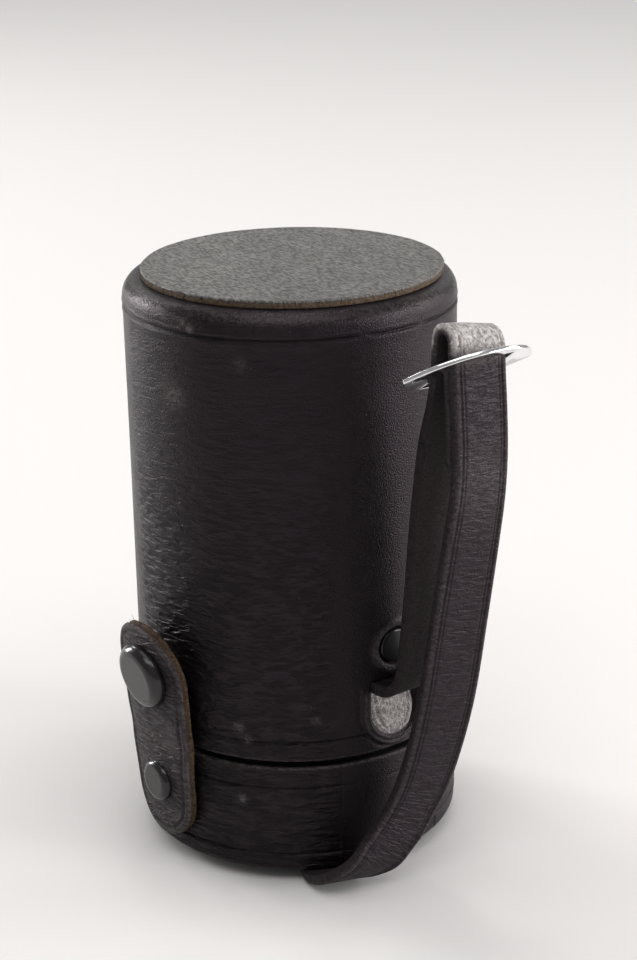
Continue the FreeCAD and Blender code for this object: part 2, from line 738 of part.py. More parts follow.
# Middle line of each strap run: x, y, z and the degrees that the width is turned from Y.
RIGHT_OUTER = [
    (28.5, -13.3, 1.3, 25), (33.5, -15.4, 1.65, 24), (38.6, -15.2, 3.8, 18),
    (42.9, -11.8, 7.6, 11), (44.8, -7.6, 12.8, 9), (46.3, -4.0, 19.0, 10),
    (49.4, -1.2, 29.6, 13), (54.2, -0.2, 47.6, 15), (58.4, -0.2, 68.6, 13),
    (61.7, 0.1, 87.6, 9), (62.9, 0.7, 98.0, 5), (63.2, 0.9, 107.0, 4),
]
RIGHT_INNER = [
    (38.3, 0.0, 46.6, 0), (41.8, 0.0, 47.6, 0), (44.8, 0.0, 50.8, 0), (46.2, 0.0, 56.0, 0),
    (48.4, 0.1, 72.0, 1), (50.1, 0.4, 89.0, 3), (51.3, 0.7, 99.5, 4), (52.4, 0.9, 107.0, 4),
]
RIGHT_FOLD_UP = [(62.8, 0.9, 116.0, 4), (62.2, 0.9, 123.5, 4)]
RIGHT_FOLD_DOWN = [(56.3, 0.9, 123.5, 4), (55.2, 0.9, 117.0, 4), (53.6, 0.9, 111.5, 4)]
RIGHT_ARCH = ((61.9, 0.9), (56.7, 0.9))
RIGHT_TAIL = [(60.75, 0.9, 101.5, 4), (60.65, 0.9, 113.0, 4), (59.8, 0.9, 125.5, 4)]
LEFT_OUTER = [
    (-28.5, 13.3, 1.3, 25), (-33.5, 15.4, 1.65, 24), (-38.4, 15.2, 3.9, 19),
    (-41.4, 12.2, 7.8, 14), (-42.8, 8.2, 14.0, 9), (-44.2, 4.2, 23.0, 4),
    (-46.4, 1.2, 39.0, 1), (-47.8, 0.0, 58.0, 0), (-47.2, 0.0, 74.0, 0), (-46.6, 0.0, 80.0, 0),
]
LEFT_INNER = [
    (-38.3, 0.0, 46.6, 0), (-40.2, 0.0, 47.8, 0), (-41.4, 0.0, 51.5, 0), (-41.6, 0.0, 60.0, 0),
    (-41.2, 0.0, 72.0, 0), (-41.0, 0.0, 80.0, 0),
]
LEFT_FOLD_UP = [(-46.5, 0.0, 87.0, 0)]
LEFT_FOLD_DOWN = [(-41.1, 0.0, 87.0, 0)]
LEFT_ARCH = ((-46.4, 0.0), (-41.2, 0.0))
FOLD_JOINT_GAP = 0.3


def fold_route(outer_end, up, arch, down, inner_end, spring_level, steps=8):
    """Route of the folded top: up from the outer run, over a half circle and down again."""
    outer, inner = (Vector(x, y, spring_level) for x, y in arch)
    middle = (outer + inner) * 0.5
    arm = (outer - inner) * 0.5
    route = [(outer_end[0], outer_end[1], outer_end[2] + FOLD_JOINT_GAP, outer_end[3])] + up
    for index in range(steps + 1):
        angle = math.pi * index / steps
        point = middle + arm * math.cos(angle)
        rise = arm.Length * math.sin(angle)
        route.append((point.x, point.y, spring_level + rise, outer_end[3]))
    route += down
    route.append((inner_end[0], inner_end[1], inner_end[2] + FOLD_JOINT_GAP, inner_end[3]))
    return route


def strap():
    width, thick = D["strap_width"].value, D["strap_thick"].value
    under = box("strap_under_bar", (-D["under_half"], -D["strap_width"] * 0.5, ZERO),
                (D["under_half"], D["strap_width"] * 0.5, D["strap_thick"] - 0.05))
    node(turned_copy("strap_under_turned", [under], -D["strap_skew"].value), "strap_under_lid")
    up = Vector(0, 0, 1)
    skew = math.radians(D["strap_skew"].value)
    sides = {
        "right": (1, RIGHT_OUTER, RIGHT_FOLD_UP, RIGHT_ARCH, RIGHT_FOLD_DOWN, RIGHT_INNER),
        "left": (-1, LEFT_OUTER, LEFT_FOLD_UP, LEFT_ARCH, LEFT_FOLD_DOWN, LEFT_INNER),
    }
    for side, (sign, outer, rising, arch, falling, inner) in sides.items():
        from_under = Vector(sign * math.cos(skew), -sign * math.sin(skew), 0)
        from_slot = Vector(sign, 0, 0)
        node(band("outer_" + side, outer, width, thick, from_under, up),
             "strap_outer_leg_" + side)
        node(band("inner_" + side, inner, width, thick, from_slot, up),
             "strap_inner_leg_" + side)
        spring_level = D["fold_spring_" + side].value
        route = fold_route(outer[-1], rising, arch, falling, inner[-1], spring_level)
        node(band("fold_" + side, route, width, thick, up, -up), "strap_fold_" + side)


def strap_tail():
    """Free end of the strap, lying against the inside of the outer run."""
    width, thick = D["strap_width"].value, D["tail_thick"].value
    node(band("tail", RIGHT_TAIL, width, thick), "strap_tail")


def slider():
    """Pointed oval plate with one wide slot, hung tilted on the doubled strap."""
    length, half = D["slider_length"], D["slider_half_width"]
    bow = (length.value ** 2 / 4 + half.value ** 2) / (2 * half.value)
    plate_sides = []
    for name, sign in (("near", 1), ("far", -1)):
        side = DOC.addObject("Part::Cylinder", "slider_" + name)
        side.Radius = bow
        bind(side, "Height", D["slider_thick"])
        side.Placement = Placement(Vector(0, sign * (half.value - bow), 0), Rotation())
        bind(side, "Placement.Base.z", -D["slider_thick"] * 0.5)
        plate_sides.append(side)
    plate = common("slider_plate", plate_sides)
    slot_half = D["strap_width"] * 0.5 + D["slider_slot_play"]
    top = D["slider_thick"]
    slot = box("slider_slot", (-slot_half, D["slider_slot_in"], -top),
               (slot_half, D["slider_slot_out"], top))
    result = cut("slider_cut", plate, slot)
    outer, inner = (Vector(*point[:3]) for point in (RIGHT_FOLD_UP[-1], RIGHT_FOLD_DOWN[0]))
    middle = (outer + inner) * 0.5
    strap_turn = RIGHT_FOLD_UP[-1][3]
    heading = -90 - strap_turn - D["slider_swing"].value
    axes = Rotation(Vector(0, 0, 1), heading)
    tilt = Rotation(Vector(1, 0, 0), D["slider_tilt"].value)
    roll = Rotation(Vector(0, 1, 0), D["slider_roll"].value)
    result.Placement = Placement(Vector(middle.x, middle.y, D["slider_level"].value),
                                 axes.multiply(roll).multiply(tilt))
    node(result, "strap_slider")


# ---------------------------------------------------------------- run

def check_and_export():
    DOC.recompute()
    for obj in DOC.Objects:
        if "Invalid" in obj.State or "Error" in obj.State:
            raise RuntimeError("failed: %s %s" % (obj.Name, obj.State))
    os.makedirs("parts", exist_ok=True)
    for obj in NODES:
        shape = obj.Shape
        if shape.isNull() or not shape.isValid() or not shape.Solids:
            raise RuntimeError("bad shape: " + obj.Label)
        shape.exportStep("parts/%s.step" % obj.Label)
        print("%-24s solids %d volume %9.1f" % (obj.Label, len(shape.Solids), shape.Volume))
    print(len(NODES), "nodes")


def main():
    lid_shell()
    lid_inside()
    body_shell()
    body_inside()
    snap_on_body()
    flap_rivet()
    strap_anchors()
    strap_scoops()
    strap_tabs()
    flap()
    strap()
    strap_tail()
    slider()
    check_and_export()


main()
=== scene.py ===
"""Looks of the round hard-leather lens case: pressed black leather, raw tan edges, a riveted snap
flap, black enamelled caps, and a narrow strap that is folded up through a chrome slider.

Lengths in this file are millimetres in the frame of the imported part, and MM turns them into metres.
"""
import json
import math

import bmesh
import bpy
import numpy as np
from mathutils import Matrix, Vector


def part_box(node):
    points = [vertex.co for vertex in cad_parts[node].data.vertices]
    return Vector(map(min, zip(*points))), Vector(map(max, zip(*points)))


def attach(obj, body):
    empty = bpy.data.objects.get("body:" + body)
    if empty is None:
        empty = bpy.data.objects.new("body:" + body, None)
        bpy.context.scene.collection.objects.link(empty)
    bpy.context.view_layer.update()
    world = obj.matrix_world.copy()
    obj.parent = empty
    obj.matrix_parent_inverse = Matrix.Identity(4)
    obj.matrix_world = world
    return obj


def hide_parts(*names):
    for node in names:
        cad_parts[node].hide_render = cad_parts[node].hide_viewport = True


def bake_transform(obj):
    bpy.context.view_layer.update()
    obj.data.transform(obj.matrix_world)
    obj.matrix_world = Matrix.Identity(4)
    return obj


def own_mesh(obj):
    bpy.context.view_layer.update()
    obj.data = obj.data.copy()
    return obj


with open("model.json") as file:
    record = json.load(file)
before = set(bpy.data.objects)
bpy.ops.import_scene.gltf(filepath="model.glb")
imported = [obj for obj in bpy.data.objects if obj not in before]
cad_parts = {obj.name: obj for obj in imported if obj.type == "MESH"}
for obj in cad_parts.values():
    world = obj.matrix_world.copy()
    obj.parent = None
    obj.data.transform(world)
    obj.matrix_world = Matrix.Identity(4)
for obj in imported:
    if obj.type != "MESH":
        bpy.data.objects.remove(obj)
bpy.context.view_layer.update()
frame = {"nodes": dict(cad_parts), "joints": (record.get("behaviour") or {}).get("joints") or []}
MM = 0.001
UP = np.array([0.0, 0.0, 1.0])
random = np.random.default_rng(7)  # for the loose fibres, drawn in the order of the calls below


def box_mm(node):
    """Lowest and highest corner of a CAD node in millimetres."""
    low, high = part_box(node)
    return np.array(low) / MM, np.array(high) / MM


def joint(name):
    """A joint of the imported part; its lengths are in metres."""
    return next(j for j in frame["joints"] if j["name"] == name)


def step(value, start, end):
    """0 before start, 1 after end, and smooth between them."""
    t = np.clip((value - start) / (end - start), 0, 1)
    return t * t * (3 - 2 * t)


def bell(value, centre, width):
    """1 at the centre, and close to 0 two widths away."""
    return np.exp(-((value - centre) / width) ** 2)


# ---- places taken from the frame

BODY_LOW, BODY_HIGH = box_mm("body_leather_shell")
LID_LOW, LID_HIGH = box_mm("lid_leather_shell")
DISC_LOW, DISC_HIGH = box_mm("body_end_disc")
SCOOP_LOW, SCOOP_HIGH = box_mm("strap_scoop_right")
RIVET_LOW, RIVET_HIGH = box_mm("strap_rivets")
FLAP_ROOT_LOW = box_mm("flap_root")[0]
SNAP_LOW, SNAP_HIGH = box_mm("snap_stud")
HINGE = joint("flap_hinge")["pos_m"]
HINGE_Y, HINGE_Z = HINGE[1] / MM, HINGE[2] / MM
DISC_R = (DISC_HIGH[0] - DISC_LOW[0]) / 2
DISC_CENTRE = (DISC_LOW[:2] + DISC_HIGH[:2]) / 2

CASE_R = BODY_HIGH[1]
LEATHER = 1.2  # thickness
SHOULDER = 4.3  # radius of the body's rounded end
LID_EDGE = 1.8  # radius of the lid's rounded end
RIM_ROUND = 0.6  # radius of the outer edge of both rims
TURN_IN_R = 28.9  # inner radius of the leather that is turned in over both ends
BODY_RIM = BODY_LOW[2]
DISC_SEAT = BODY_HIGH[2]
LID_FACE = LID_LOW[2]
LID_RIM = LID_HIGH[2]

SCOOP_R = SCOOP_HIGH[1] + 0.05
SCOOP_BOTTOM = SCOOP_LOW[2]
SCOOP_CENTRE = SCOOP_BOTTOM + SCOOP_R
SLOT_LOW = SCOOP_HIGH[2]
SLOT_HIGH = SLOT_LOW + 2.8
SLOT_DEPTH = 3.3
SCOOP_DEPTH = 2.6
ANCHOR_LEVEL = (RIVET_LOW[2] + RIVET_HIGH[2]) / 2
SNAP_LEVEL = (SNAP_LOW[2] + SNAP_HIGH[2]) / 2

STRAP_WIDTH = 13.0
STRAP_THICK = 2.5

# degrees round the case from the middle of a strap run
SEAM_ANGLE = 21.5
PLAIN_FROM, PLAIN_TO = -20.0, 72.0


# ---- meshes

def piece(name, points, faces, marks=None, smooth=True):
    """A mesh piece from points in millimetres; marks are values stored on its points."""
    mesh = bpy.data.meshes.new(name)
    mesh.from_pydata((np.asarray(points) * MM).tolist(), [], [list(f) for f in faces])
    for key, values in (marks or {}).items():
        values = np.asarray(values, np.float32)
        kind, field = ("FLOAT_VECTOR", "vector") if values.ndim == 2 else ("FLOAT", "value")
        mesh.attributes.new(key, kind, "POINT").data.foreach_set(field, values.ravel())
    mesh.polygons.foreach_set("use_smooth", [smooth] * len(mesh.polygons))
    mesh.update()
    made = bpy.data.objects.new(name, mesh)
    bpy.context.scene.collection.objects.link(made)
    return made


def grid_faces(rows, columns, close_rows=False, close_columns=False):
    """Quads of a grid of points, wrapped round where it closes."""
    index = np.arange(rows * columns).reshape(rows, columns)
    if close_rows:
        index = np.vstack([index, index[:1]])
    if close_columns:
        index = np.hstack([index, index[:, :1]])
    quads = np.stack([index[:-1, :-1], index[:-1, 1:], index[1:, 1:], index[1:, :-1]], -1)
    return quads.reshape(-1, 4).tolist()


def spaced(*stretches):
    """Values along stretches of (start, end, step), without repeats."""
    parts = [np.linspace(a, b, max(2, int(round((b - a) / size)) + 1))[:-1]
             for a, b, size in stretches]
    return np.concatenate(parts + [[stretches[-1][1]]])


def around(radius, turn, level):
    """Points at a radius from Z, an angle in radians and a height."""
    return np.stack([radius * np.cos(turn), radius * np.sin(turn), level], -1)


def unit(vectors):
    return vectors / np.linalg.norm(vectors, axis=-1, keepdims=True)


def arc(centre_r, centre_z, radius, start, end, count):
    """Points of (radius, height) along an arc between two angles in degrees."""
    angles = np.radians(np.linspace(start, end, count))
    return [(centre_r + radius * math.cos(a), centre_z + radius * math.sin(a)) for a in angles]


def ripple(angle, level, seed, size):
    """Slow unevenness of a hand-made wall, from four waves."""
    total = 0
    for k in range(1, 5):
        phase = seed * 1.7 + k * 2.1
        total = total + np.sin(angle * k + phase) * np.sin(level / (11.0 + 6 * k) + phase * 1.3)
    return size * total / 2


def rough(count, seed, smoothing):
    """A closed run of smoothed random values from about -1 to 1."""
    values = np.random.default_rng(seed).normal(size=count)
    kernel = np.exp(-np.linspace(-2, 2, smoothing) ** 2)
    ring = np.convolve(np.tile(values, 3), kernel / kernel.sum(), mode="same")[count:2 * count]
    return ring / np.abs(ring).max()


# ---- materials

class Shade:
    """A procedural material, put together node by node."""

    # colour sockets of a Mix node, whose number and vector sockets have the same names
    FIRST, SECOND, MIXED = 6, 7, 2

    def __init__(self, name):
        self.material = bpy.data.materials.new(name)
        self.material.use_nodes = True
        self.tree = self.material.node_tree
        self.surface = self.tree.nodes["Principled BSDF"]

    def node(self, kind, inputs=None, **settings):
        made = self.tree.nodes.new("ShaderNode" + kind)
        for key, value in settings.items():
            setattr(made, key, value)
        for key, value in (inputs or {}).items():
            self.put(made, key, value)
        return made

    def put(self, node, key, value):
        socket = node.inputs[key]
        if isinstance(value, bpy.types.NodeSocket):
            self.tree.links.new(value, socket)
        else:
            socket.default_value = value

    def set(self, **values):
        for key, value in values.items():
            self.put(self.surface, key.replace("_", " "), value)

    def math(self, operation, a, b, clamp=False):
        return self.node("Math", {0: a, 1: b}, operation=operation, use_clamp=clamp).outputs[0]

    def plus(self, a, b):
        return self.math("ADD", a, b)

    def minus(self, a, b):
        return self.math("SUBTRACT", a, b)

    def times(self, a, b):
        return self.math("MULTIPLY", a, b)

    def mark(self, name, output="Fac"):
        return self.node("Attribute", attribute_name=name).outputs[output]

    def stretched(self, vector, scale, turn=0.0):
        """Coordinates times a scale, after a turn about Z in degrees."""
        inputs = {"Vector": vector, "Scale": scale, "Rotation": (0, 0, math.radians(turn))}
        return self.node("Mapping", inputs).outputs["Vector"]

    def noise(self, vector, scale, detail=3.0, roughness=0.55, distortion=0.0):
        made = self.node("TexNoise", {"Vector": vector, "Scale": scale, "Detail": detail,
                                      "Roughness": roughness, "Distortion": distortion})
        return made.outputs["Fac"]

    def cells(self, vector, scale, feature="F1"):
        inputs = {"Vector": vector, "Scale": scale}
        return self.node("TexVoronoi", inputs, feature=feature).outputs["Distance"]

    def ramp(self, value, low, high, low_to=0.0, high_to=1.0):
        made = self.node("MapRange", {"Value": value, "From Min": low, "From Max": high,
                                      "To Min": low_to, "To Max": high_to})
        return made.outputs["Result"]

    def mix(self, share, first, second):
        made = self.node("Mix", {"Factor": share}, data_type="RGBA")
        self.put(made, self.FIRST, self.colour(first))
        self.put(made, self.SECOND, self.colour(second))
        return made.outputs[self.MIXED]

    def colour(self, value):
        return value if isinstance(value, bpy.types.NodeSocket) else (*value, 1.0)

    def bump(self, height, strength, distance, normal=None):
        inputs = {"Height": height, "Strength": strength, "Distance": distance}
        if normal is not None:
            inputs["Normal"] = normal
        return self.node("Bump", inputs).outputs["Normal"]

    def here(self):
        return self.node("TexCoord").outputs["Object"]


# leather colours: worn and pale where it is rubbed, pale also as a painted sheen, a painted shade for
# creases, tan on cut edges, flesh on the strap's back
BLACK = (0.0056, 0.0038, 0.0051)
SMOKE = (0.0115, 0.0092, 0.0108)
WORN = (0.150, 0.138, 0.130)
# pale: bared leather, and also a painted sheen on the strap's fold top and the scoops
PALE_BARE_AND_SHEEN = (0.600, 0.580, 0.565)
TAN = (0.215, 0.140, 0.074)
TAN_DARK = (0.014, 0.008, 0.005)
# painted shade for the valleys of the creases
CREASE_SHADE = (0.0008, 0.0006, 0.0008)
FLESH = (0.040, 0.034, 0.032)
FLESH_DARK = (0.011, 0.009, 0.009)


def leather(name, coords="object", creases=1.0, pebbles=1.0, turn=0.0, gloss=0.33, base=BLACK,
            lift=SMOKE, stretch=(220, 220, 820), relief=0.00040, shine=0.36, speckle=0.6,
            tint=(1.0, 0.84, 0.94)):
    """Black grained leather with worn spots, pale specks and raw tan edges.

    The stored marks are wear (0 to 1, and up to 2 where the black is gone and where a pale sheen is
    painted on the strap's fold top and the scoops), raw (cut edge), plain (no long creases, so no
    painted crease shade), flesh (the strap's unfinished side) and polish (rubbed smooth and bright).
    """
    s = Shade(name)
    where = s.here() if coords == "object" else s.mark("flat", "Vector")
    wear, raw, plain, flesh = (s.mark(k) for k in ("wear", "raw", "plain", "flesh"))
    dull = s.minus(1.0, s.mark("polish"))
    drift = s.noise(where, 130.0)

    long_grain = s.noise(s.stretched(where, stretch, turn), 1.0, 2.0, 0.5, 0.5)
    fold = s.ramp(long_grain, 0.37, 0.61)
    valley = s.minus(1.0, fold)
    crease_share = s.times(s.minus(1.0, plain), creases)
    pebble = s.cells(where, 3400.0, "SMOOTH_F1")
    pebble_share = s.times(s.ramp(plain, 0, 1, 0.25, 0.45), pebbles)
    height = s.minus(s.times(fold, crease_share), s.times(pebble, pebble_share))
    height = s.plus(height, s.times(s.noise(where, 4200.0, 2.0), 0.3))
    height = s.times(height, s.ramp(dull, 0, 1, 0.35, 1))

    specks = s.ramp(s.cells(where, 420.0), 0.070, 0.045)
    specks = s.times(specks, s.ramp(s.noise(where, 70.0), 0.52, 0.60))
    rub = s.times(wear, s.ramp(s.noise(where, 1100.0, 4.0, 0.75), 0.38, 0.60))
    rub = s.math("MAXIMUM", rub, s.times(specks, speckle), clamp=True)
    patches = s.ramp(s.noise(where, 1500.0, 4.0, 0.7), 0.30, 0.62)
    # share of the pale colour where wear is above 1: bared leather, and a painted sheen
    bared_and_sheen = s.times(s.ramp(wear, 0.9, 2.0), patches)
    fibres = s.noise(s.stretched(where, (700, 700, 1400)), 2.2, 5.0, 0.8)

    tone = s.mix(s.ramp(drift, 0.3, 0.7), base, lift)
    # painted shade: the valleys of the creases are darkened to near black
    tone = s.mix(s.times(valley, s.times(crease_share, 0.95)), tone, CREASE_SHADE)
    tone = s.mix(rub, tone, WORN)
    # pale where wear is above 1: bared leather, and a painted sheen on the strap's fold top and the
    # scoops
    tone = s.mix(bared_and_sheen, tone, PALE_BARE_AND_SHEEN)
    tone = s.mix(flesh, tone, s.mix(s.ramp(fibres, 0.35, 0.65), FLESH_DARK, FLESH))
    tone = s.mix(raw, tone, s.mix(s.ramp(fibres, 0.36, 0.64), TAN_DARK, TAN))

    bare = s.math("MAXIMUM", raw, flesh)
    rough_face = s.plus(s.ramp(drift, 0.3, 0.7, gloss - 0.05, gloss + 0.08), s.times(rub, 0.25))
    rough_face = s.plus(rough_face, s.times(valley, s.times(crease_share, 0.22)))
    rough_face = s.times(rough_face, s.ramp(dull, 0, 1, 0.55, 1))
    rough_face = s.math("MAXIMUM", rough_face, s.ramp(bare, 0, 1, 0, 0.85))
    normal = s.bump(height, 0.8, relief)
    normal = s.bump(s.times(fibres, bare), 0.9, 0.0004, normal)
    s.set(Base_Color=tone, Roughness=rough_face, Normal=normal, Specular_IOR_Level=shine,
          Specular_Tint=(*tint, 1.0))
    return s.material


def enamel(name, colour, roughness=0.16):
    """Glossy stoved paint on a pressed cap, with fine scratches and soft orange peel."""
    s = Shade(name)
    where = s.here()
    peel = s.noise(where, 420.0, 2.0)
    scratch = s.noise(s.stretched(where, (200, 2600, 900), 25), 1.0, 3.0, 0.7)
    dust = s.ramp(s.noise(where, 2500.0, 3.0), 0.62, 0.75)
    s.set(Base_Color=s.mix(dust, colour, tuple(c * 1.8 + 0.02 for c in colour)),
          Roughness=s.ramp(scratch, 0.3, 0.75, roughness, roughness + 0.16),
          Normal=s.bump(peel, 0.25, 0.00006), Coat_Weight=0.35, Coat_Roughness=0.12)
    return s.material


def metal(name, colour, low, high):
    """Plated metal with fine scratches and a little tarnish; its roughness is low to high."""
    s = Shade(name)
    where = s.here()
    lines = s.noise(s.stretched(where, (900, 108, 900)), 1.0, 4.0, 0.7)
    stain = s.noise(where, 260.0, 4.0, 0.6)
    s.set(Base_Color=s.mix(s.ramp(stain, 0.45, 0.75), colour, tuple(c * 0.72 for c in colour)),
          Roughness=s.ramp(lines, 0.3, 0.7, low, high),
          Normal=s.bump(lines, 0.15, 0.00002), Metallic=1.0)
    return s.material


def board(name, first, second, roughness):
    """Pressed fibre board: mottled, with short fibres."""
    s = Shade(name)
    where = s.here()
    fibres = s.noise(s.stretched(where, (700, 700, 2600)), 1.0, 5.0, 0.7, 0.6)
    blotch = s.noise(where, 160.0, 3.0)
    mottled = s.times(s.plus(fibres, blotch), 0.5)
    s.set(Base_Color=s.mix(s.ramp(mottled, 0.38, 0.62), first, second),
          Roughness=s.ramp(fibres, 0.3, 0.7, roughness - 0.06, roughness + 0.1),
          Normal=s.bump(fibres, 0.4, 0.00008))
    return s.material


def pile(name, first, second):
    """Short velvet pile or felt: fuzzy, with brushed patches and a sheen."""
    s = Shade(name)
    where = s.here()
    tufts = s.cells(where, 2300.0)
    brushed = s.noise(s.stretched(where, (90, 90, 60)), 1.0, 4.0, 0.6, 0.8)
    share = s.plus(s.times(tufts, 0.45), s.times(brushed, 0.7))
    s.set(Base_Color=s.mix(s.ramp(share, 0.3, 0.8), first, second),
          Roughness=s.ramp(tufts, 0, 1, 0.8, 0.98),
          Normal=s.bump(s.plus(tufts, s.noise(where, 5200.0)), 0.7, 0.0002),
          Sheen_Weight=0.6, Sheen_Roughness=0.35)
    return s.material


FLAT_GRAIN = dict(coords="flat", stretch=(330, 1250, 330))
MATERIALS = {
    "case_leather": leather("case_leather"),
    # the disc's base and lift are light greys instead of black: a painted sheen of its top face
    "disc_leather": leather(
        "disc_leather", creases=0.8, pebbles=0.5, turn=-28, gloss=0.40, shine=1.0, speckle=1.0,
        base=(0.135, 0.130, 0.126), lift=(0.245, 0.238, 0.230), tint=(1.0, 0.98, 0.95),
        stretch=(700, 2700, 700)),
    "face_leather": leather("face_leather", pebbles=0.8, creases=0.5),
    # the scoop's base and lift are light greys: worn leather with a painted highlight on its sloping
    # face
    "scoop_leather": leather(
        "scoop_leather", creases=0.3, pebbles=1.5, gloss=0.46, shine=0.5, relief=0.00070,
        base=(0.300, 0.287, 0.284), lift=(0.560, 0.540, 0.535)),
    "flap_leather": leather(
        "flap_leather", turn=-32, gloss=0.42, creases=0.7, shine=0.45, relief=0.00060,
        base=(0.014, 0.012, 0.013), lift=(0.050, 0.045, 0.047), **FLAT_GRAIN),
    "strap_leather": leather(
        "strap_leather", turn=12, gloss=0.42, creases=0.6, shine=0.5, relief=0.00042,
        base=(0.0075, 0.0052, 0.0070), lift=(0.016, 0.0125, 0.015), **FLAT_GRAIN),
    "fibre_board": board("fibre_board", (0.30, 0.22, 0.14), (0.20, 0.14, 0.085), 0.75),
    "collar_board": board("collar_board", (0.006, 0.005, 0.006), (0.014, 0.012, 0.013), 0.5),
    "pile_lining": pile("pile_lining", (0.16, 0.010, 0.018), (0.30, 0.022, 0.032)),
    "felt": pile("felt", (0.14, 0.010, 0.016), (0.25, 0.02, 0.03)),
    "black_enamel": enamel("black_enamel", (0.014, 0.012, 0.013)),
    "black_rivet": enamel("black_rivet", (0.006, 0.005, 0.0055), 0.34),
    "nickel_brass": metal("nickel_brass", (0.60, 0.55, 0.45), 0.16, 0.34),
    "steel_washer": metal("steel_washer", (0.52, 0.52, 0.52), 0.28, 0.45),
    "slider_chrome": metal("slider_chrome", (0.86, 0.86, 0.87), 0.08, 0.20),
}


def finish_piece(made, slot, body=None, stands_for=()):
    """Give a piece the material named by its slot, attach it to a body, and hide the CAD nodes that
    it stands for.
    """
    made.data.materials.append(MATERIALS[slot])
    if body:
        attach(made, body)
    if stands_for:
        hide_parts(*stands_for)
    return made


# ---- turned pieces

def turned(name, profile, angles, shape=None, closed=True, centre=(0, 0)):
    """Turn a profile of (radius, height) round Z; shape may move its points and mark them."""
    profile = np.array(profile, float)
    turn = np.radians(angles)
    radius = np.repeat(profile[:, :1], len(turn), 1)
    level = np.repeat(profile[:, 1:], len(turn), 1)
    turn = np.repeat(turn[None, :], len(profile), 0)
    marks = {}
    if shape:
        radius, level, marks = shape(radius, level, turn)
    points = (around(radius, turn, level) + (*centre, 0)).reshape(-1, 3)
    faces = grid_faces(*radius.shape, close_rows=closed, close_columns=True)
    marks = {key: np.broadcast_to(v, radius.shape).reshape(-1) for key, v in marks.items()}
    return piece(name, points, faces, marks)


def side_offset(turn):
    """Distance along the wall from the nearer strap opening, which are at +X and -X."""
    folded = np.where(np.cos(turn) < 0, np.pi - turn, turn)
    return np.arctan2(np.sin(folded), np.cos(folded)) * CASE_R


def scoop_distance(across, level):
    """Distance outside the U-shaped edge of the scoop, negative inside it."""
    below = np.hypot(across, level - SCOOP_CENTRE) - SCOOP_R
    beside = np.abs(across) - SCOOP_R
    return np.where(level < SCOOP_CENTRE, below, beside)


def scoop_plane(level):
    """Depth of the sloping scoop below the wall."""
    return SCOOP_DEPTH * (level - SCOOP_BOTTOM) / (SLOT_LOW - SCOOP_BOTTOM)


def press(radius, level, lines, outer):
    """Pressed lines round the wall: a groove with a soft shoulder on each side."""
    for line in lines:
        beside = np.abs(level - line)
        radius = radius + (-0.45 * bell(level, line, 0.27) + 0.14 * bell(beside, 0.95, 0.4)) * outer
    return radius


def plain_panel(turn):
    """1 on the parts of the wall beside the strap, where the grain has no long creases."""
    angle = (np.degrees(turn) + 90) % 180 - 90
    return step(angle, PLAIN_FROM - 9, PLAIN_FROM + 1) * (1 - step(angle, PLAIN_TO, PLAIN_TO + 8))


def lid_seam(turn):
    """Depth of the lid wall beyond the seams on both sides of each strap run."""
    across = np.degrees(np.abs(side_offset(turn)) / CASE_R)
    inside = 1 - step(across, SEAM_ANGLE - 0.3, SEAM_ANGLE + 0.3)
    return -0.18 * bell(across, SEAM_ANGLE, 0.45) - 0.10 * inside, inside


def spot_distance(turn, level, angle, height):
    """Distance along the wall from the spot at an angle in degrees and a height."""
    beside = (turn - math.radians(angle) + np.pi) % (2 * np.pi) - np.pi
    return np.hypot(beside * CASE_R, level - height)


# worn spots: angle, level, size, strength
LID_SCUFFS = [(-56.5, 20.5, 1.0, 1.0)]
BODY_SCUFFS = [
    (-79.0, 113.0, 2.6, 0.75), (-76.0, 112.0, 1.6, 0.6), (-83.0, 115.0, 1.4, 0.5),
    (-70.5, 128.5, 1.0, 1.0), (-73.0, 129.6, 0.8, 0.9), (-57.0, 38.3, 1.1, 1.0),
    (-54.0, 35.6, 0.9, 0.9), (-30.0, 40.5, 0.9, 0.5), (-52.5, 122.0, 1.5, 0.35),
    (120.0, 96.0, 2.0, 0.6), (200.0, 60.0, 2.4, 0.5), (95.0, 121.0, 1.6, 0.6),
]


def scuffs(turn, level, spots):
    total = np.zeros_like(level)
    for angle, height, size, strength in spots:
        away = spot_distance(turn, level, angle, height)
        total = np.maximum(total, strength * bell(away, 0, size))
    return total


BODY_LINES = (DISC_HIGH[2] - 7.7, BODY_RIM + 4.6)
LID_LINES = (LID_RIM - 5.2, LID_FACE + 4.65)
BOWL_EDGE = (3.9, 4.7)  # distances from the strap rivet where its bowl ends
BOWL_LIP = 5.6  # distance of the raised lip round the bowl
SEAT_EDGE = (4.1, 4.6)  # the same for the flat seat of the snap stud
BEAD_CREST = 1.25  # distance of the dent along the bead from the scoop's edge
WORN_SHOULDER = DISC_SEAT - 1.2


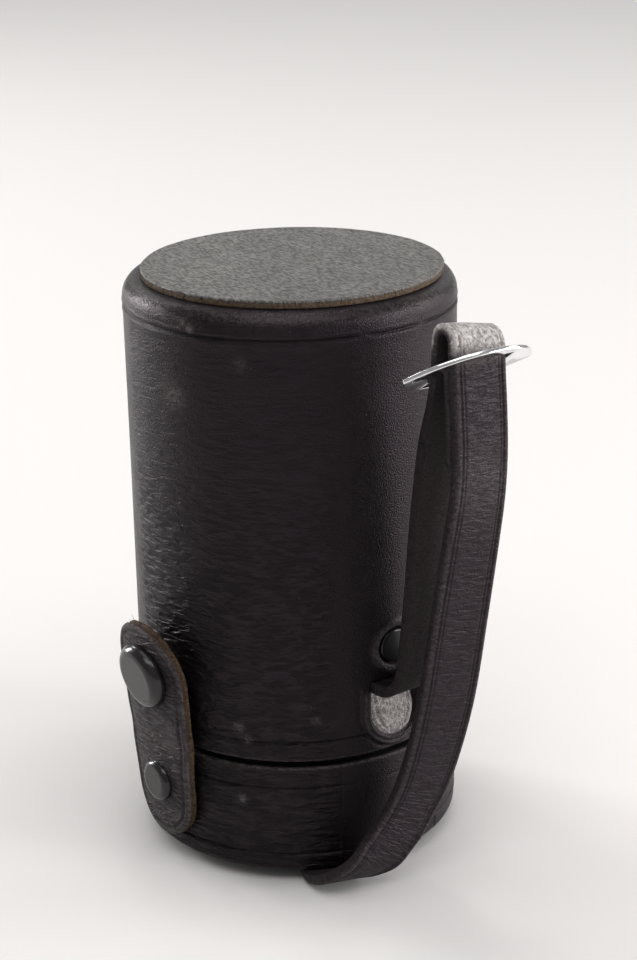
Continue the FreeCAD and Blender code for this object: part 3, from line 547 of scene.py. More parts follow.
def body_relief(radius, level, turn, outer, edge, rivet):
    """Radius of the body's leather with its pockets, beads, bowls and pressed lines."""
    inner_wall = (radius < CASE_R - LEATHER + 0.01) & (level < DISC_SEAT - SHOULDER + 0.5)
    in_scoop = step(-edge, 0.0, 0.35) * (level < SLOT_LOW)
    slot = step(SCOOP_R - np.abs(side_offset(turn)), 0.0, 0.35)
    slot = slot * (level >= SLOT_LOW) * (level <= SLOT_HIGH)
    depth = np.maximum(in_scoop * np.maximum(scoop_plane(level), 0.25), slot * SLOT_DEPTH)
    bead = 0.55 * step(edge, 0.15, 0.6) * (1 - step(edge, 1.9, 2.5))
    bead = bead - 0.22 * bell(edge, BEAD_CREST, 0.45) - 0.25 * bell(edge, 2.8, 0.35)
    bead = bead * step(SLOT_LOW + 2.2 - level, 0.0, 2.5)
    bowl = 0.88 * (1 - step(rivet, *BOWL_EDGE)) - 0.42 * bell(rivet, BOWL_LIP, 0.9)
    seat = spot_distance(turn, level, -90, SNAP_LEVEL)
    bowl = bowl + 0.55 * (1 - step(seat, *SEAT_EDGE))
    wall = radius + outer * ripple(turn, level, 1.0, 0.10)
    wall = press(wall, level, BODY_LINES, outer * (1 - in_scoop) * (1 - bell(edge, 0.9, 1.6)))
    wall = wall + outer * (bead - depth - bowl)
    floor_of_pockets = CASE_R - depth - bowl - 0.45
    return np.where(inner_wall, np.minimum(radius, floor_of_pockets), wall)


def body_marks(level, turn, outer, edge, rivet):
    """Wear, plain grain and polish of the body's leather."""
    shoulder = bell(level, WORN_SHOULDER, 1.3) * (0.18 + 0.22 * np.sin(turn * 3 + 1) ** 2)
    rim = 0.55 * bell(level, BODY_RIM, 0.5)
    bead = 0.5 * bell(rivet, BOWL_LIP, 0.7) + 0.3 * bell(edge, BEAD_CREST, 0.5) * (level < SLOT_LOW)
    wear = np.maximum.reduce([scuffs(turn, level, BODY_SCUFFS), shoulder * outer, rim, bead])
    near_rivet = 1 - step(rivet, 6.0, 9.0)
    near_bead = (1 - step(edge, 2.4, 3.4)) * (level < SLOT_HIGH + 2)
    rubbed_down = 0.75 * step(level, 62.0, 112.0)
    plain = np.maximum.reduce([plain_panel(turn), near_rivet, near_bead, rubbed_down])
    return {"wear": wear, "plain": plain, "polish": bell(level, WORN_SHOULDER, 1.5) * outer}


def body_shape(radius, level, turn):
    outer = step(radius, CASE_R - SHOULDER, CASE_R - 0.5)
    across = side_offset(turn)
    edge = scoop_distance(across, level)
    rivet = np.hypot(across, level - ANCHOR_LEVEL)
    wall = body_relief(radius, level, turn, outer, edge, rivet)
    return wall, level, body_marks(level, turn, outer, edge, rivet)


def body_leather():
    """Leather of the body as a closed shell, finer round the openings."""
    r, rim = CASE_R, BODY_RIM
    wall_levels = spaced((rim + RIM_ROUND, 33.0, 0.15), (33.0, 62.5, 0.2), (62.5, 122.0, 1.2),
                         (122.0, 126.0, 0.8), (126.0, DISC_SEAT - SHOULDER, 0.15))
    outside = arc(r - RIM_ROUND, rim + RIM_ROUND, RIM_ROUND, -90, 0, 5)[:-1]
    outside += [(r, z) for z in wall_levels]
    outside += arc(r - SHOULDER, DISC_SEAT - SHOULDER, SHOULDER, 0, 90, 18)[1:]
    inside = [(TURN_IN_R, DISC_SEAT), (TURN_IN_R, DISC_SEAT - LEATHER)]
    inside += arc(r - SHOULDER, DISC_SEAT - SHOULDER, SHOULDER - LEATHER, 90, 0, 8)
    inside += [(r - LEATHER, z) for z in wall_levels[wall_levels < 64][::-1]]
    inside += [(r - LEATHER, rim)]
    angles = spaced((-14, 14, 0.32), (14, 166, 1.0), (166, 194, 0.32), (194, 346, 1.0))[:-1]
    made = turned("body_leather", outside + inside, angles, body_shape)
    return finish_piece(made, "case_leather", "case_body", ["body_leather_shell"])


def lid_shape(radius, level, turn):
    """Seams, pressed lines and wear of the lid's leather."""
    outer = step(radius, CASE_R - LID_EDGE, CASE_R - 0.3)
    seam, between = lid_seam(turn)
    wall = radius + outer * (ripple(turn, level, 4.0, 0.08) + seam)
    wall = press(wall, level, LID_LINES, outer * (1 - 0.75 * between))
    wear = np.maximum(0.5 * bell(level, LID_RIM, 0.45), 0.35 * bell(level, LID_FACE + 0.5, 0.6))
    wear = np.maximum(wear * outer, scuffs(turn, level, LID_SCUFFS))
    return wall, level, {"wear": wear, "plain": plain_panel(turn)}


def lid_leather():
    """Leather of the lid as a closed shell, finer at its pressed lines."""
    r = CASE_R
    levels = spaced((LID_FACE + LID_EDGE, 6.0, 0.4), (6.0, 8.6, 0.15), (8.6, 22.0, 0.8),
                    (22.0, 25.2, 0.15), (25.2, LID_RIM - RIM_ROUND, 0.6))
    profile = [(TURN_IN_R, LID_FACE)]
    profile += arc(r - LID_EDGE, LID_FACE + LID_EDGE, LID_EDGE, -90, 0, 10)[:-1]
    profile += [(r, z) for z in levels]
    profile += arc(r - RIM_ROUND, LID_RIM - RIM_ROUND, RIM_ROUND, 0, 90, 5)[1:]
    profile += [(r - LEATHER, LID_RIM), (r - LEATHER, LID_FACE + LEATHER),
                (TURN_IN_R, LID_FACE + LEATHER)]
    made = turned("lid_leather", profile, np.arange(0, 360, 0.5), lid_shape)
    return finish_piece(made, "case_leather", "lid", ["lid_leather_shell"])


def rough_disc(name, radius, low, high, slot, body, node, raw=True, seed=3, centre=(0, 0)):
    """A flat disc with a softly rounded top edge and an uneven cut side."""
    count = 720
    edge = 0.3
    waves = rough(count, seed, 9) * 0.10 + rough(count, seed + 1, 41) * 0.10
    shreds = rough(count, seed + 2, 3) * 0.10

    def shape(r, z, turn):
        rim = step(r, radius - 2.0, radius)
        side = rim * step(high - z, 0.1, 0.5) * (z > low + 0.02)
        r = r + rim * waves[None, :] + side * shreds[None, :]
        sag = -0.10 * bell(r, radius - 2.2, 0.9) - 0.05 * bell(r, radius * 0.5, radius * 0.3)
        z = z + sag * (z > high - 0.2)
        cut = step(high - z, edge * 1.5, edge * 2.6) * (r > radius - 1.2) if raw else 0 * r
        wear = 0.55 * bell(r, radius - 0.35, 0.45) * (z > high - 0.4)
        return r, z, {"raw": cut, "wear": wear}

    ring = [(q * radius, high) for q in (0.0, 0.04, 0.15, 0.3, 0.45, 0.6, 0.75, 0.85)]
    ring += [(radius - d, high) for d in (3.2, 2.4, 1.8, 1.3, 0.9, 0.6)]
    ring += arc(radius - edge, high - edge, edge, 90, 0, 5)
    sides = np.linspace(high - edge - 0.15, low + 0.05, 6)
    ring += [(radius, z) for z in sides] + [(radius - 0.1, low), (radius * 0.5, low), (0.0, low)]
    made = turned(name, ring, np.arange(0, 360, 360 / count), shape, closed=False, centre=centre)
    return finish_piece(made, slot, body, [node])


def soft_tube(name, node, body, slot, seed):
    """A cloth lining as a thin closed tube with an uneven pile surface."""
    low, high = box_mm(node)
    outer, bottom, top = high[0], low[2], high[2]
    inner = outer - 0.4

    def shape(r, z, turn):
        return r + ripple(turn * 5, z * 3, seed, 0.03) * (r < outer - 0.2), z, {}

    levels = np.linspace(bottom, top, 40)
    profile = [(outer, z) for z in levels] + [(inner, z) for z in levels[::-1]]
    return finish_piece(turned(name, profile, np.arange(0, 360, 2.0), shape), slot, body, [node])


def soft_disc(name, node, body, slot, edge, seed):
    """A pad or lining disc with a soft rounded edge and a slightly uneven face."""
    low, high = box_mm(node)
    radius, bottom, top = high[0], low[2], high[2]

    def shape(r, z, turn):
        face = ripple(turn * 2, r * 3, seed, min(edge, 0.12)) * step(r, 0, 4)
        middle = (top + bottom) / 2
        return r, z - np.abs(face) * np.sign(z - middle), {}

    flat = (radius - edge) * np.linspace(0, 1, 16)[:-1]
    profile = [(r, top) for r in flat]
    profile += arc(radius - edge, top - edge, edge, 90, 0, 6)
    profile += arc(radius - edge, bottom + edge, edge, 0, -90, 6)
    profile += [(r, bottom) for r in flat[::-1]]
    made = turned(name, profile, np.arange(0, 360, 3.0), shape, closed=False)
    return finish_piece(made, slot, body, [node])


# ---- scoops

def scoop_face(name, sign, node):
    """Leather face of the scoop, worn and with a painted highlight: a half moon that slopes in to the
    slot.
    """
    columns, rows = 60, 56
    across, rise = np.meshgrid(np.linspace(-1, 1, columns), np.linspace(0, 1, rows))
    level = SCOOP_BOTTOM + 0.1 + rise * (SLOT_LOW - SCOOP_BOTTOM - 0.1)
    drop = np.clip(SCOOP_CENTRE - level, 0, SCOOP_R - 0.1)
    half = np.sqrt((SCOOP_R - 0.1) ** 2 - drop ** 2)
    offset = across * half
    turn = offset / CASE_R
    edge = np.minimum(half - np.abs(offset), np.minimum(level - SCOOP_BOTTOM, SLOT_LOW - level))
    swell = 0.25 * step(edge, 0.0, 1.4) - 0.30 * bell(edge, 1.9, 0.35)
    radius = CASE_R - np.maximum(scoop_plane(level), 0.2) + swell + 0.05
    fine = 0.03 * np.sin(offset * 5 + level * 3) * np.sin(level * 6.3 - offset * 2)
    points = np.stack([around(radius + fine, turn, level), around(radius - 0.5, turn, level)])
    points = points.reshape(-1, 3)
    points[:, :2] *= sign
    count = rows * columns
    faces = grid_faces(rows, columns)
    faces += [[i + count for i in f[::-1]] for f in faces]
    index = np.arange(count).reshape(rows, columns)
    border = np.concatenate([index[0], index[1:, -1], index[-1, -2::-1], index[-2:0:-1, 0]])
    border = border.tolist()
    for a, b in zip(border, border[1:] + border[:1]):
        faces.append([b, a, a + count, b + count])
    # wear above 1, rising towards the slot, turns the face pale: bared leather and a painted
    # highlight
    wear = np.tile(1.15 + 0.55 * step(level, SCOOP_CENTRE - 3, SLOT_LOW), 2).reshape(-1)
    made = piece(name, points, faces, {"wear": wear, "plain": np.ones(2 * count)})
    return finish_piece(made, "scoop_leather", "case_body", [node])


# ---- flap

FLAP_IN = CASE_R + 0.05
FLAP_THICK = -FLAP_ROOT_LOW[1] - FLAP_IN
FLAP_LOW_R = 10.4
FLAP_HIGH_R = 12.2
FLAP_LOW_Z = FLAP_ROOT_LOW[2] + FLAP_LOW_R
FLAP_LEAN = 9.0
FLAP_BULGE = 1.2
FLAP_SPRING = 0.6
FLAP_CORE = 3.8  # inset of the plain middle
BEND_BELOW, BEND_ABOVE = 4.0, 5.0  # reach of the bend from the hinge


def flap_ring(count):
    """Outline points of the flap laid flat, with the nearest point of its middle line."""
    rise = SNAP_LEVEL - FLAP_LOW_Z
    lean = math.asin((FLAP_HIGH_R - FLAP_LOW_R) / rise)
    low_angles = np.linspace(math.pi + lean, 2 * math.pi - lean, count)
    high_angles = np.linspace(-lean, math.pi + lean, count)
    middle_low, middle_high = np.array([[0, FLAP_LOW_Z]]), np.array([[0, SNAP_LEVEL]])
    low = middle_low + FLAP_LOW_R * around(1, low_angles, low_angles)[:, :2]
    high = middle_high + FLAP_HIGH_R * around(1, high_angles, high_angles)[:, :2]
    share = np.linspace(0, 1, count)[1:-1, None]

    def line(start, end):
        return start * (1 - share) + end * share

    outline = [low, line(low[-1], high[0]), high, line(high[-1], low[0])]
    middle = [np.repeat(middle_low, count, 0), line(middle_low, middle_high),
              np.repeat(middle_high, count, 0), line(middle_high, middle_low)]
    return np.concatenate(outline), np.concatenate(middle)


def flap_place(across, level, above):
    """From the flat flap to its place: wrapped round the wall, the top standing off it."""
    turn = -np.pi / 2 + across / (FLAP_IN + FLAP_THICK / 2)
    bulge = FLAP_BULGE * bell(level, HINGE_Z, 13.0)
    spring = FLAP_SPRING * (across / FLAP_HIGH_R) ** 2
    radius = FLAP_IN + above + bulge + spring
    x, y = radius * np.cos(turn), radius * np.sin(turn)
    angle = math.radians(FLAP_LEAN) * step(level, HINGE_Z - BEND_BELOW, HINGE_Z + BEND_ABOVE)
    dy, dz = y - HINGE_Y, level - HINGE_Z
    return np.stack([x, HINGE_Y + dy * np.cos(angle) - dz * np.sin(angle),
                     HINGE_Z + dy * np.sin(angle) + dz * np.cos(angle)], -1)


def bend_with_flap(made):
    """Bake a piece's placement into its mesh."""
    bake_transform(made)
    return made


def flap_leather():
    """The flap as rings of points: its face, its ragged cut side and its back."""
    outline, middle = flap_ring(48)
    reach = np.linalg.norm(outline - middle, axis=1)
    count = len(outline)
    waves = rough(count, 21, 9) * 0.20
    shreds = rough(count, 22, 3) * 0.34
    cut_middle = FLAP_THICK * 0.42
    insets = [3.4, 2.9, 2.5, 2.2, 1.9, 1.6, 1.35, 1.1, 0.8, 0.5, 0.3, 0.14]
    rows, values = [], []

    def add(points, *above_raw_wear):
        rows.append(points)
        values.append([np.broadcast_to(value, (count,)) for value in above_raw_wear])

    def at_inset(inset):
        share = (reach - inset)[:, None] / reach[:, None]
        return middle + (outline - middle) * share

    core = at_inset(FLAP_CORE) - middle
    for q in (0.0, 0.15, 0.3, 0.45, 0.58, 0.7):
        add(middle + core * q / 0.75, FLAP_THICK, 0.0, 0.0)
    for inset in insets:
        groove = -0.30 * bell(inset, 1.9, 0.34)
        drop = -0.34 * (1 - step(inset, 0.0, 1.1)) ** 2
        add(at_inset(inset), FLAP_THICK + groove + drop, 0.0, 0.6 * (1 - step(inset, 0.2, 1.2)))
    add(at_inset(0.02), FLAP_THICK - 0.62, 0.15, 0.3)
    for k, above in enumerate(np.linspace(FLAP_THICK - 0.85, 0.12, 8)):
        ragged = waves + shreds * (1.0 if k % 2 else -0.6) * (0.4 + 0.6 * k / 7)
        groove = 0.30 * bell(above, cut_middle, 0.28)
        add(at_inset(-ragged * 0.8 + 0.05 + groove), above + shreds * 0.25,
            1.0 - 0.75 * bell(above, cut_middle, 0.25), 0.0)
    for inset in (0.3, 1.5, 3.5):
        add(at_inset(inset), 0.0, 0.6, 0.0)
    add(middle + core * 0.5, 0.0, 0.5, 0.0)
    add(middle, 0.0, 0.5, 0.0)
    flat = np.concatenate(rows)
    above, raw, wear = np.concatenate(values, axis=1)
    slack = ripple(flat[:, 0] / 9, flat[:, 1] * 1.5, 2.0, 0.12)
    points = flap_place(flat[:, 0], flat[:, 1], above + slack * (above > 1))
    marks = {
        "raw": raw,
        "wear": np.maximum(wear, 0.4 * bell(flat[:, 1], HINGE_Z, 1.6)),
        "flat": np.stack([flat[:, 0] * MM, flat[:, 1] * MM, above * MM], -1),
    }
    made = piece("flap_leather", points, grid_faces(len(rows), count, close_columns=True), marks)
    return bend_with_flap(finish_piece(made, "flap_leather", None, ["flap_root", "flap_tongue"]))


def hairs(name, roots, outwards, lengths, thick, slot):
    """Loose fibres of a cut edge: thin tapered three-sided tubes that curl."""
    points, faces = [], []
    rings = 6
    for root, outward, length in zip(roots, outwards, lengths):
        side = unit(np.cross(outward, random.normal(size=3)))
        curl = random.uniform(-1.2, 1.2)
        start = len(points)
        for j in range(rings):
            t = j / (rings - 1)
            bend = curl * t * t * length * 0.6
            centre = root + outward * (length * t * (1 - 0.25 * t)) + side * bend
            centre = centre + UP * (random.normal() * 0.04 * length * t)
            width = thick * (1 - 0.75 * t)
            for k in range(3):
                a = 2 * math.pi * k / 3
                third = np.cross(outward, side)
                points.append(centre + width * (math.cos(a) * side + math.sin(a) * third))
        for j in range(rings - 1):
            for k in range(3):
                a, b = start + 3 * j + k, start + 3 * j + (k + 1) % 3
                faces.append([a, b, b + 3, a + 3])
        faces.append([start + 2, start + 1, start])
        last = start + 3 * (rings - 1)
        faces.append([last, last + 1, last + 2])
    made = piece(name, np.array(points), faces, {"raw": np.ones(len(points))})
    return finish_piece(made, slot)


def flap_fibres():
    """Loose fibres round the flap, fewer on its far side."""
    outline, middle = flap_ring(48)
    chosen = random.choice(len(outline), 170, replace=False)
    chosen = [i for i in chosen if outline[i, 0] > -3 or random.random() < 0.4]
    above = random.uniform(0.3, FLAP_THICK - 0.5, len(chosen))
    flat, core = outline[chosen], middle[chosen]
    away = unit(flat - core)
    roots = flap_place(flat[:, 0] - away[:, 0] * 0.2, flat[:, 1] - away[:, 1] * 0.2, above)
    tips = flap_place(flat[:, 0] + away[:, 0], flat[:, 1] + away[:, 1], above)
    outwards = unit(tips - roots)
    lengths = np.clip(0.4 + random.gamma(1.4, 0.45, len(chosen)), 0.4, 3.2)
    return bend_with_flap(hairs("flap_fibres", roots, outwards, lengths, 0.055, "flap_leather"))


def disc_fibres():
    """Short loose fibres round the cut side of the end disc."""
    angles = random.uniform(0, 2 * math.pi, 420)
    radius = DISC_R - 0.15
    levels = random.uniform(DISC_LOW[2] + 0.1, DISC_HIGH[2] - 0.5, len(angles))
    outwards = unit(around(1, angles, random.normal(-0.2, 0.3, len(angles))))
    roots = around(radius, angles, levels) + (*DISC_CENTRE, 0)
    lengths = np.clip(random.gamma(2.0, 0.17, len(angles)), 0.15, 0.9)
    made = hairs("disc_fibres", roots, outwards, lengths, 0.04, "disc_leather")
    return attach(made, "case_body")


# ---- strap

# Middle line of each strap run: x, y, z and the degrees that the width is turned from Y.
RIGHT_OUTER = [
    (28.5, -13.3, 1.3, 25), (33.5, -15.4, 1.65, 24), (38.6, -15.2, 3.8, 18),
    (42.9, -11.8, 7.6, 11), (44.8, -7.6, 12.8, 9), (46.3, -4.0, 19.0, 10),
    (49.4, -1.2, 29.6, 13), (54.2, -0.2, 47.6, 15), (58.4, -0.2, 68.6, 13),
    (61.7, 0.1, 87.6, 9), (62.9, 0.7, 98.0, 5), (63.2, 0.9, 107.0, 4),
]
RIGHT_INNER = [
    (34.4, 0.0, 46.6, 0), (38.3, 0.0, 46.6, 0), (41.8, 0.0, 47.6, 0), (44.8, 0.0, 50.8, 0),
    (46.2, 0.0, 56.0, 0), (48.4, 0.1, 72.0, 1), (50.1, 0.4, 89.0, 3), (51.3, 0.7, 99.5, 4),
    (52.4, 0.9, 107.0, 4),
]
RIGHT_FOLD_UP = [(62.8, 0.9, 116.0, 4), (62.2, 0.9, 123.5, 4)]
RIGHT_FOLD_DOWN = [(56.3, 0.9, 123.5, 4), (55.2, 0.9, 117.0, 4), (53.6, 0.9, 111.5, 4)]
RIGHT_ARCH = ((61.9, 0.9), (56.7, 0.9))
RIGHT_TAIL = [(60.75, 0.9, 101.5, 4), (60.65, 0.9, 113.0, 4), (59.8, 0.9, 125.5, 4)]
LEFT_OUTER = [
    (-28.5, 13.3, 1.3, 25), (-33.5, 15.4, 1.65, 24), (-38.4, 15.2, 3.9, 19),
    (-41.4, 12.2, 7.8, 14), (-42.8, 8.2, 14.0, 9), (-44.2, 4.2, 23.0, 4),
    (-46.4, 1.2, 39.0, 1), (-47.8, 0.0, 58.0, 0), (-47.2, 0.0, 74.0, 0), (-46.6, 0.0, 80.0, 0),
]
LEFT_INNER = [
    (-34.4, 0.0, 46.6, 0), (-38.3, 0.0, 46.6, 0), (-40.2, 0.0, 47.8, 0), (-41.4, 0.0, 51.5, 0),
    (-41.6, 0.0, 60.0, 0), (-41.2, 0.0, 72.0, 0), (-41.0, 0.0, 80.0, 0),
]
LEFT_FOLD_UP = [(-46.5, 0.0, 87.0, 0)]
LEFT_FOLD_DOWN = [(-41.1, 0.0, 87.0, 0)]
LEFT_ARCH = ((-46.4, 0.0), (-41.2, 0.0))
FOLD_SLOPE = 0.17  # sideways lean of the right fold
STRAP_LINES = ((1.40, 0.26, 0.24), (2.20, 0.16, 0.22))  # inset, depth and width of a pressed line


def fold_over(rising, arch, falling, top):
    """Points of the folded top: up, over a half circle between the two runs, and down."""
    outer, inner = (np.array(point) for point in arch)
    middle, arm = (outer + inner) / 2, (outer - inner) / 2
    radius = np.linalg.norm(arm)
    spring = top - radius - STRAP_THICK / 2
    route = []
    for angle in np.radians(np.linspace(0, 180, 9)):
        x, y = middle + arm * math.cos(angle)
        route.append((x, y, spring + radius * math.sin(angle), rising[-1][3]))
    return rising + route + falling


def smooth_run(route, spacing=1.0):
    """A smooth line through the points of a route, as evenly spaced rows of x, y, z, turn."""
    knots = np.array(route, float)
    knots = np.vstack([2 * knots[0] - knots[1], knots, 2 * knots[-1] - knots[-2]])
    rows = []
    for i in range(1, len(knots) - 2):
        p0, p1, p2, p3 = knots[i - 1:i + 3]
        count = max(3, int(np.linalg.norm(p2[:3] - p1[:3]) / spacing * 2))
        for t in np.linspace(0, 1, count, endpoint=False):
            rows.append(0.5 * (2 * p1 + (p2 - p0) * t + (2 * p0 - 5 * p1 + 4 * p2 - p3) * t * t
                               + (3 * p1 - p0 - 3 * p2 + p3) * t ** 3))
    rows = np.array(rows + [knots[-2]])
    for _ in range(5):
        rows[1:-1] = rows[1:-1] * 0.5 + (rows[:-2] + rows[2:]) * 0.25
    length = np.concatenate([[0], np.cumsum(np.linalg.norm(np.diff(rows[:, :3], axis=0), axis=1))])
    even = np.linspace(0, length[-1], int(length[-1] / spacing) + 1)
    return np.stack([np.interp(even, length, rows[:, k]) for k in range(4)], -1), even


def strap_section(width, thick):
    """Cross-section of the strap, with rounded edges and pressed lines, and its flesh marks."""
    half, deep, soft = width / 2, thick / 2, 0.7
    tight = soft * 0.5
    lined = 2.8
    crown = 0.10
    across = np.concatenate([np.linspace(-half + soft, -half + lined, 17)[:-1],
                             np.linspace(-half + lined, half - lined, 14)[:-1],
                             np.linspace(half - lined, half - soft, 17)])
    pressed = sum(drop * bell(np.abs(across), half - inset, wide)
                  for inset, drop, wide in STRAP_LINES)
    rise = crown * (1 - (across / half) ** 2)
    face = np.stack([across, deep - crown - pressed + rise], -1)
    corner = [(half - soft + soft * math.sin(a), deep - crown - soft + soft * math.cos(a))
              for a in np.radians([22, 45, 68, 90])]
    corner_down = [(half - tight + tight * math.sin(a), -deep + tight + tight * math.cos(a))
                   for a in np.radians([90, 120, 150, 180])]
    back = [(x, -deep) for x in np.linspace(half - 1.2, -half + 1.2, 14)]
    left = [(-x, y) for x, y in corner_down[::-1]] + [(-x, y) for x, y in corner[::-1]]
    outline = np.array(face.tolist() + corner + corner_down + back + left)
    flesh = np.concatenate([np.zeros(len(face) + len(corner)), [0.35, 0.7, 1, 1],
                            np.ones(len(back)), [1, 1, 0.7, 0.35], np.zeros(len(corner))])
    return outline, flesh


def band(name, run, along, start, end, wear_and_sheen_at, width=STRAP_WIDTH, thick=STRAP_THICK, tip=0.0,
         grain_side=-1.0, slope=0.0, slope_from=0.0):
    """Sweep the strap's section along rows start to end of a run, and close its ends.

    With a slope, the band leans sideways above the level slope_from.
    """
    outline, flesh = strap_section(width, thick)
    line = run[:, :3]
    tangents = unit(np.gradient(line, axis=0))
    turn = np.radians(run[:, 3])
    across = np.stack([np.sin(turn), np.cos(turn), np.zeros(len(turn))], -1)
    across = unit(across - tangents * (across * tangents).sum(1)[:, None])
    normal = np.cross(tangents, across) * grain_side
    rings, flats, wears = [], [], []
    slack = 0.25 * np.sin(along / 17.0 + 0.6) + 0.16 * np.sin(along / 7.3)
    for i in range(start, end + 1):
        narrow = 1.0
        if tip:
            left_over = min(along[i] - along[start], tip)
            narrow = 0.30 + 0.70 * math.sqrt(max(0.0, 1 - (1 - left_over / tip) ** 2))
        wave = slack[i] * 0.10 * (outline[:, 0] / width * 2) ** 2
        ring = (line[i] + across[i] * (outline[:, :1] * narrow)
                + normal[i] * (outline[:, 1:] + wave[:, None]))
        ring[:, 2] -= slope * step(line[i, 2], slope_from, slope_from + 9) * outline[:, 0]
        rings.append(ring)
        flats.append(np.stack([outline[:, 0], np.full(len(outline), along[i]), outline[:, 1]], -1))
        edge_rub = bell(np.abs(outline[:, 0]), width / 2 - 0.35, 0.4) * (outline[:, 1] > 0)
        wears.append(np.maximum(0.30 * edge_rub, wear_and_sheen_at(line[i]) * (outline[:, 1] > 0)))
    size = len(outline)
    rows = len(rings)
    faces = grid_faces(rows, size, close_columns=True)
    faces = faces + [list(range(size))[::-1], [size * (rows - 1) + k for k in range(size)]]
    marks = {"flat": np.concatenate(flats) * MM, "flesh": np.tile(flesh, rows),
             "wear": np.concatenate(wears)}
    made = piece(name, np.concatenate(rings), faces, marks)
    orient(made)
    return made


def orient(made):
    """Point every face of a closed mesh outwards."""
    mesh = bmesh.new()
    mesh.from_mesh(made.data)
    bmesh.ops.recalc_face_normals(mesh, faces=mesh.faces[:])
    mesh.to_mesh(made.data)
    mesh.free()


def strap_side(side, sign, outer, fold, inner, slope=0.0, also=()):
    """One side of the strap: half of the run under the lid, up, over the fold and down.

    The fold is its rising points, its arch and its falling points.
    """
    top = box_mm("strap_fold_" + side)[1][2]
    x, y, level, turn = outer[0]
    under = [(x * q, y * q, level, turn) for q in (0.0, 0.5)]
    run, along = smooth_run(under + outer + fold_over(*fold, top) + inner[::-1])
    fold_level = outer[-1][2]
    split = max(i for i in range(len(run)) if run[i, 2] > fold_level)

    def wear_and_sheen_at(point):
        rubbed = 0.28 * bell(point[2], 101.0, 7.0) * (point[0] > 59)
        # near the top of the fold the leather turns pale: worn leather with a painted sheen where the
        # fold faces up
        return np.maximum(rubbed, 1.9 * step(point[2], top - 9.0, top - 3.5))

    shape = dict(grain_side=-sign, slope=slope, slope_from=top - 11)
    loop = band("strap_loop_" + side, run, along, 0, split, wear_and_sheen_at, **shape)
    finish_piece(loop, "strap_leather", None,
                 ["strap_outer_leg_" + side, "strap_fold_" + side, *also])
    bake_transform(loop)
    rest = band("strap_inner_" + side, run, along, split, len(run) - 1, wear_and_sheen_at, **shape)
    finish_piece(rest, "strap_leather", "case_body",
                 ["strap_inner_leg_" + side, "strap_end_" + side])
    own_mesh(rest)


def strap():
    strap_side("right", 1, RIGHT_OUTER, (RIGHT_FOLD_UP, RIGHT_ARCH, RIGHT_FOLD_DOWN), RIGHT_INNER,
               FOLD_SLOPE, ["strap_under_lid"])
    strap_side("left", -1, LEFT_OUTER, (LEFT_FOLD_UP, LEFT_ARCH, LEFT_FOLD_DOWN), LEFT_INNER)


def strap_tail():
    """Free end of the strap, against the inside of the outer run."""
    run, along = smooth_run(RIGHT_TAIL)
    made = band("strap_tail_end", run, along, 0, len(run) - 1, lambda point: 0.0,
                width=STRAP_WIDTH - 0.4, thick=1.7, tip=5.0)
    return finish_piece(made, "strap_leather", "fold_right", ["strap_tail"])


# ---- CAD nodes that stay

def dress(node, slot, bevel=0.0):
    """Give a CAD node its material, and soften its edges."""
    shown = frame["nodes"][node]
    shown.data.materials.clear()
    shown.data.materials.append(MATERIALS[slot])
    if bevel:
        weld = shown.modifiers.new("weld", "WELD")
        weld.merge_threshold = 0.002 * MM
        soft = shown.modifiers.new("bevel", "BEVEL")
        soft.width = bevel * MM
        soft.segments = 3
        soft.limit_method = "ANGLE"
        soft.angle_limit = math.radians(35)
        soft.harden_normals = False
        for polygon in shown.data.polygons:
            polygon.use_smooth = True


def dress_cad():
    dressed = {
        "fibre_board": ["lid_end_board", "body_end_board"],
        "collar_board": ["body_collar_tube", "lid_board_tube", "body_board_tube"],
        "black_enamel": ["snap_cap", "flap_rivet_cap"],
        "black_rivet": ["strap_rivets"],
        "nickel_brass": ["snap_stud", "snap_socket", "snap_stud_washer"],
        "steel_washer": ["flap_rivet_washer", "strap_rivet_washers"],
    }
    for slot, nodes in dressed.items():
        for node in nodes:
            dress(node, slot)
    dress("strap_slider", "slider_chrome", 0.28)


# ---- stage, light and camera

VIEW_AZIMUTH = 53.5


def seen(right, away, up):
    """A place given as the camera sees it: right of, behind and above the object, in metres."""
    a = math.radians(VIEW_AZIMUTH)
    return (right * math.cos(a) - away * math.sin(a), right * math.sin(a) + away * math.cos(a), up)


# name, place and aim as the camera sees them, width, height, power
LIGHTS = [
    ("overhead", (-0.05, 0.05, 1.6), (0, 0, 0.05), 1.3, 1.2, 4.6),
    ("highlight", (0.02, 0.20, 1.5), (0, 0, 0.12), 0.22, 0.12, 1.8),
    ("front_overhead", (0.1, -0.9, 1.5), (0.05, -0.45, 0.0), 1.8, 0.6, 8.5),
    ("back_panel", (0.3, 3.0, 1.4), (0.1, 0.7, 0.0), 4.0, 1.6, 17.0),
    ("key", (-1.3, 1.4, 1.4), (0, 0, 0.05), 0.4, 0.4, 6.0),
    ("left_panel", (-1.25, 0.80, 0.28), (0, 0.1, 0.06), 0.34, 0.9, 15.0),
    ("right_panel", (1.5, 0.35, 0.45), (0, 0, 0.05), 0.9, 0.8, 10.5),
    ("front_strip", (1.35, -0.50, 0.30), (0, 0, 0.06), 0.42, 0.6, 12.0),
]


def aimed(place, direction):
    """Placement of a lamp at a place, shining along a direction."""
    back = -unit(direction)
    right = unit(np.cross(UP, back))
    up = np.cross(back, right)
    made = np.eye(4)
    made[:3, 0], made[:3, 1], made[:3, 2], made[:3, 3] = right, up, back, place
    return Matrix(made.tolist())


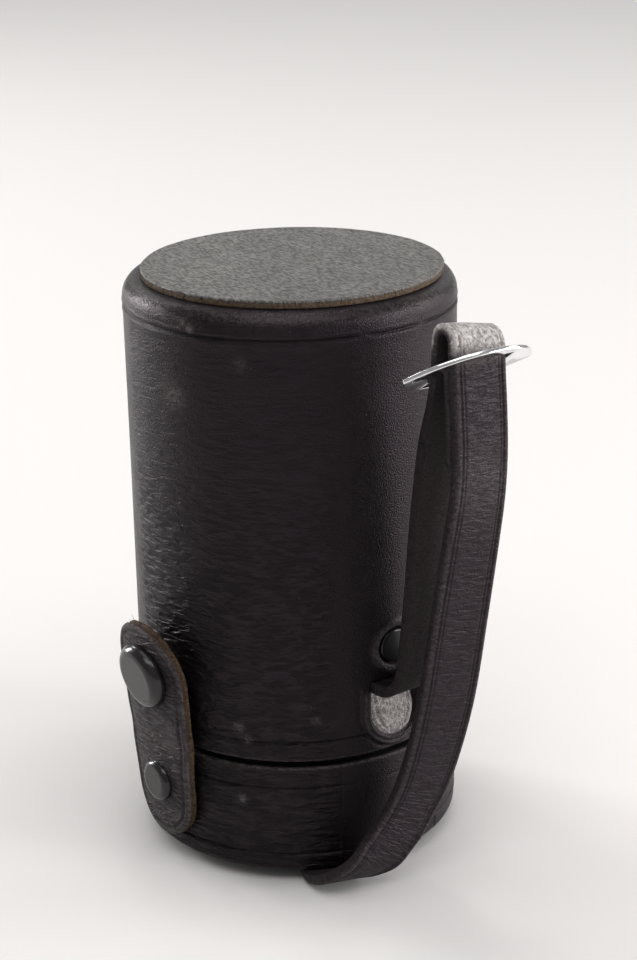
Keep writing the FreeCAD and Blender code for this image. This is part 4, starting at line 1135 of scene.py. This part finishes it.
def floor():
    """Pale floor, a hair below the case so that the two don't share a plane."""
    size, drop = 4000.0, 0.02
    corners = [(x * size, y * size, -drop) for x, y in ((-1, -1), (1, -1), (1, 1), (-1, 1))]
    made = piece("floor", corners, [[0, 1, 2, 3]], smooth=False)
    s = Shade("pale_floor")
    s.set(Base_Color=(0.80, 0.79, 0.785, 1.0), Roughness=0.9, Specular_IOR_Level=0.15)
    made.data.materials.append(s.material)


def lights():
    """Soft even light from the world and from panels that the camera doesn't see."""
    world = bpy.data.worlds.new("studio")
    bpy.context.scene.world = world
    world.use_nodes = True
    sky = world.node_tree.nodes["Background"]
    sky.inputs["Color"].default_value = (0.86, 0.85, 0.845, 1)
    sky.inputs["Strength"].default_value = 0.44
    for name, place, aim, width, height, power in LIGHTS:
        lamp = bpy.data.lights.new(name, "AREA")
        lamp.shape = "RECTANGLE"
        lamp.size, lamp.size_y, lamp.energy = width, height, power
        lamp.color = (1.0, 0.985, 0.975)
        holder = bpy.data.objects.new(name, lamp)
        holder.visible_camera = False
        bpy.context.scene.collection.objects.link(holder)
        place, aim = np.array(seen(*place)), np.array(seen(*aim))
        holder.matrix_world = aimed(place, aim - place)


def camera():
    """Camera 43 cm in front of the case and 24 cm up, looking 20 degrees down, a little rolled."""
    lens = bpy.data.cameras.new("camera")
    lens.lens = 75.0
    lens.sensor_width = 36.0
    lens.clip_start, lens.clip_end = 0.01, 50.0
    eye = bpy.data.objects.new("camera", lens)
    bpy.context.scene.collection.objects.link(eye)
    across, back, height = 0.00562, 0.42998, 0.24206
    pitch, roll = 20.26, -0.996
    turn = (Matrix.Rotation(math.radians(VIEW_AZIMUTH), 4, "Z")
            @ Matrix.Rotation(math.radians(90 - pitch), 4, "X")
            @ Matrix.Rotation(math.radians(roll), 4, "Z"))
    eye.matrix_world = Matrix.Translation(seen(across, -back, height)) @ turn
    bpy.context.scene.camera = eye
    bpy.context.scene.view_settings.view_transform = "Standard"
    bpy.context.scene.view_settings.gamma = 0.85


# ---- build

body_leather()
lid_leather()
rough_disc("end_disc", DISC_R, DISC_LOW[2], DISC_HIGH[2], "disc_leather", "case_body",
           "body_end_disc", centre=DISC_CENTRE)
face_low, face_high = box_mm("lid_face_leather")
rough_disc("lid_face", face_high[0], face_low[2], face_high[2], "face_leather", "lid",
           "lid_face_leather", raw=False, seed=9)
scoop_face("scoop_right", 1, "strap_scoop_right")
scoop_face("scoop_left", -1, "strap_scoop_left")
flap_leather()
flap_fibres()
disc_fibres()
strap()
strap_tail()
soft_tube("body_lining", "body_lining_tube", "case_body", "pile_lining", 1)
soft_tube("lid_lining", "lid_lining_tube", "lid", "pile_lining", 2)
soft_disc("body_lining_end", "body_lining_disc", "case_body", "pile_lining", 0.1, 3)
soft_disc("lid_lining_floor", "lid_lining_disc", "lid", "pile_lining", 0.1, 4)
soft_disc("body_pad", "body_felt_pad", "case_body", "felt", 0.9, 5)
soft_disc("lid_pad", "lid_felt_pad", "lid", "felt", 0.9, 6)
dress_cad()
floor()
lights()
camera()
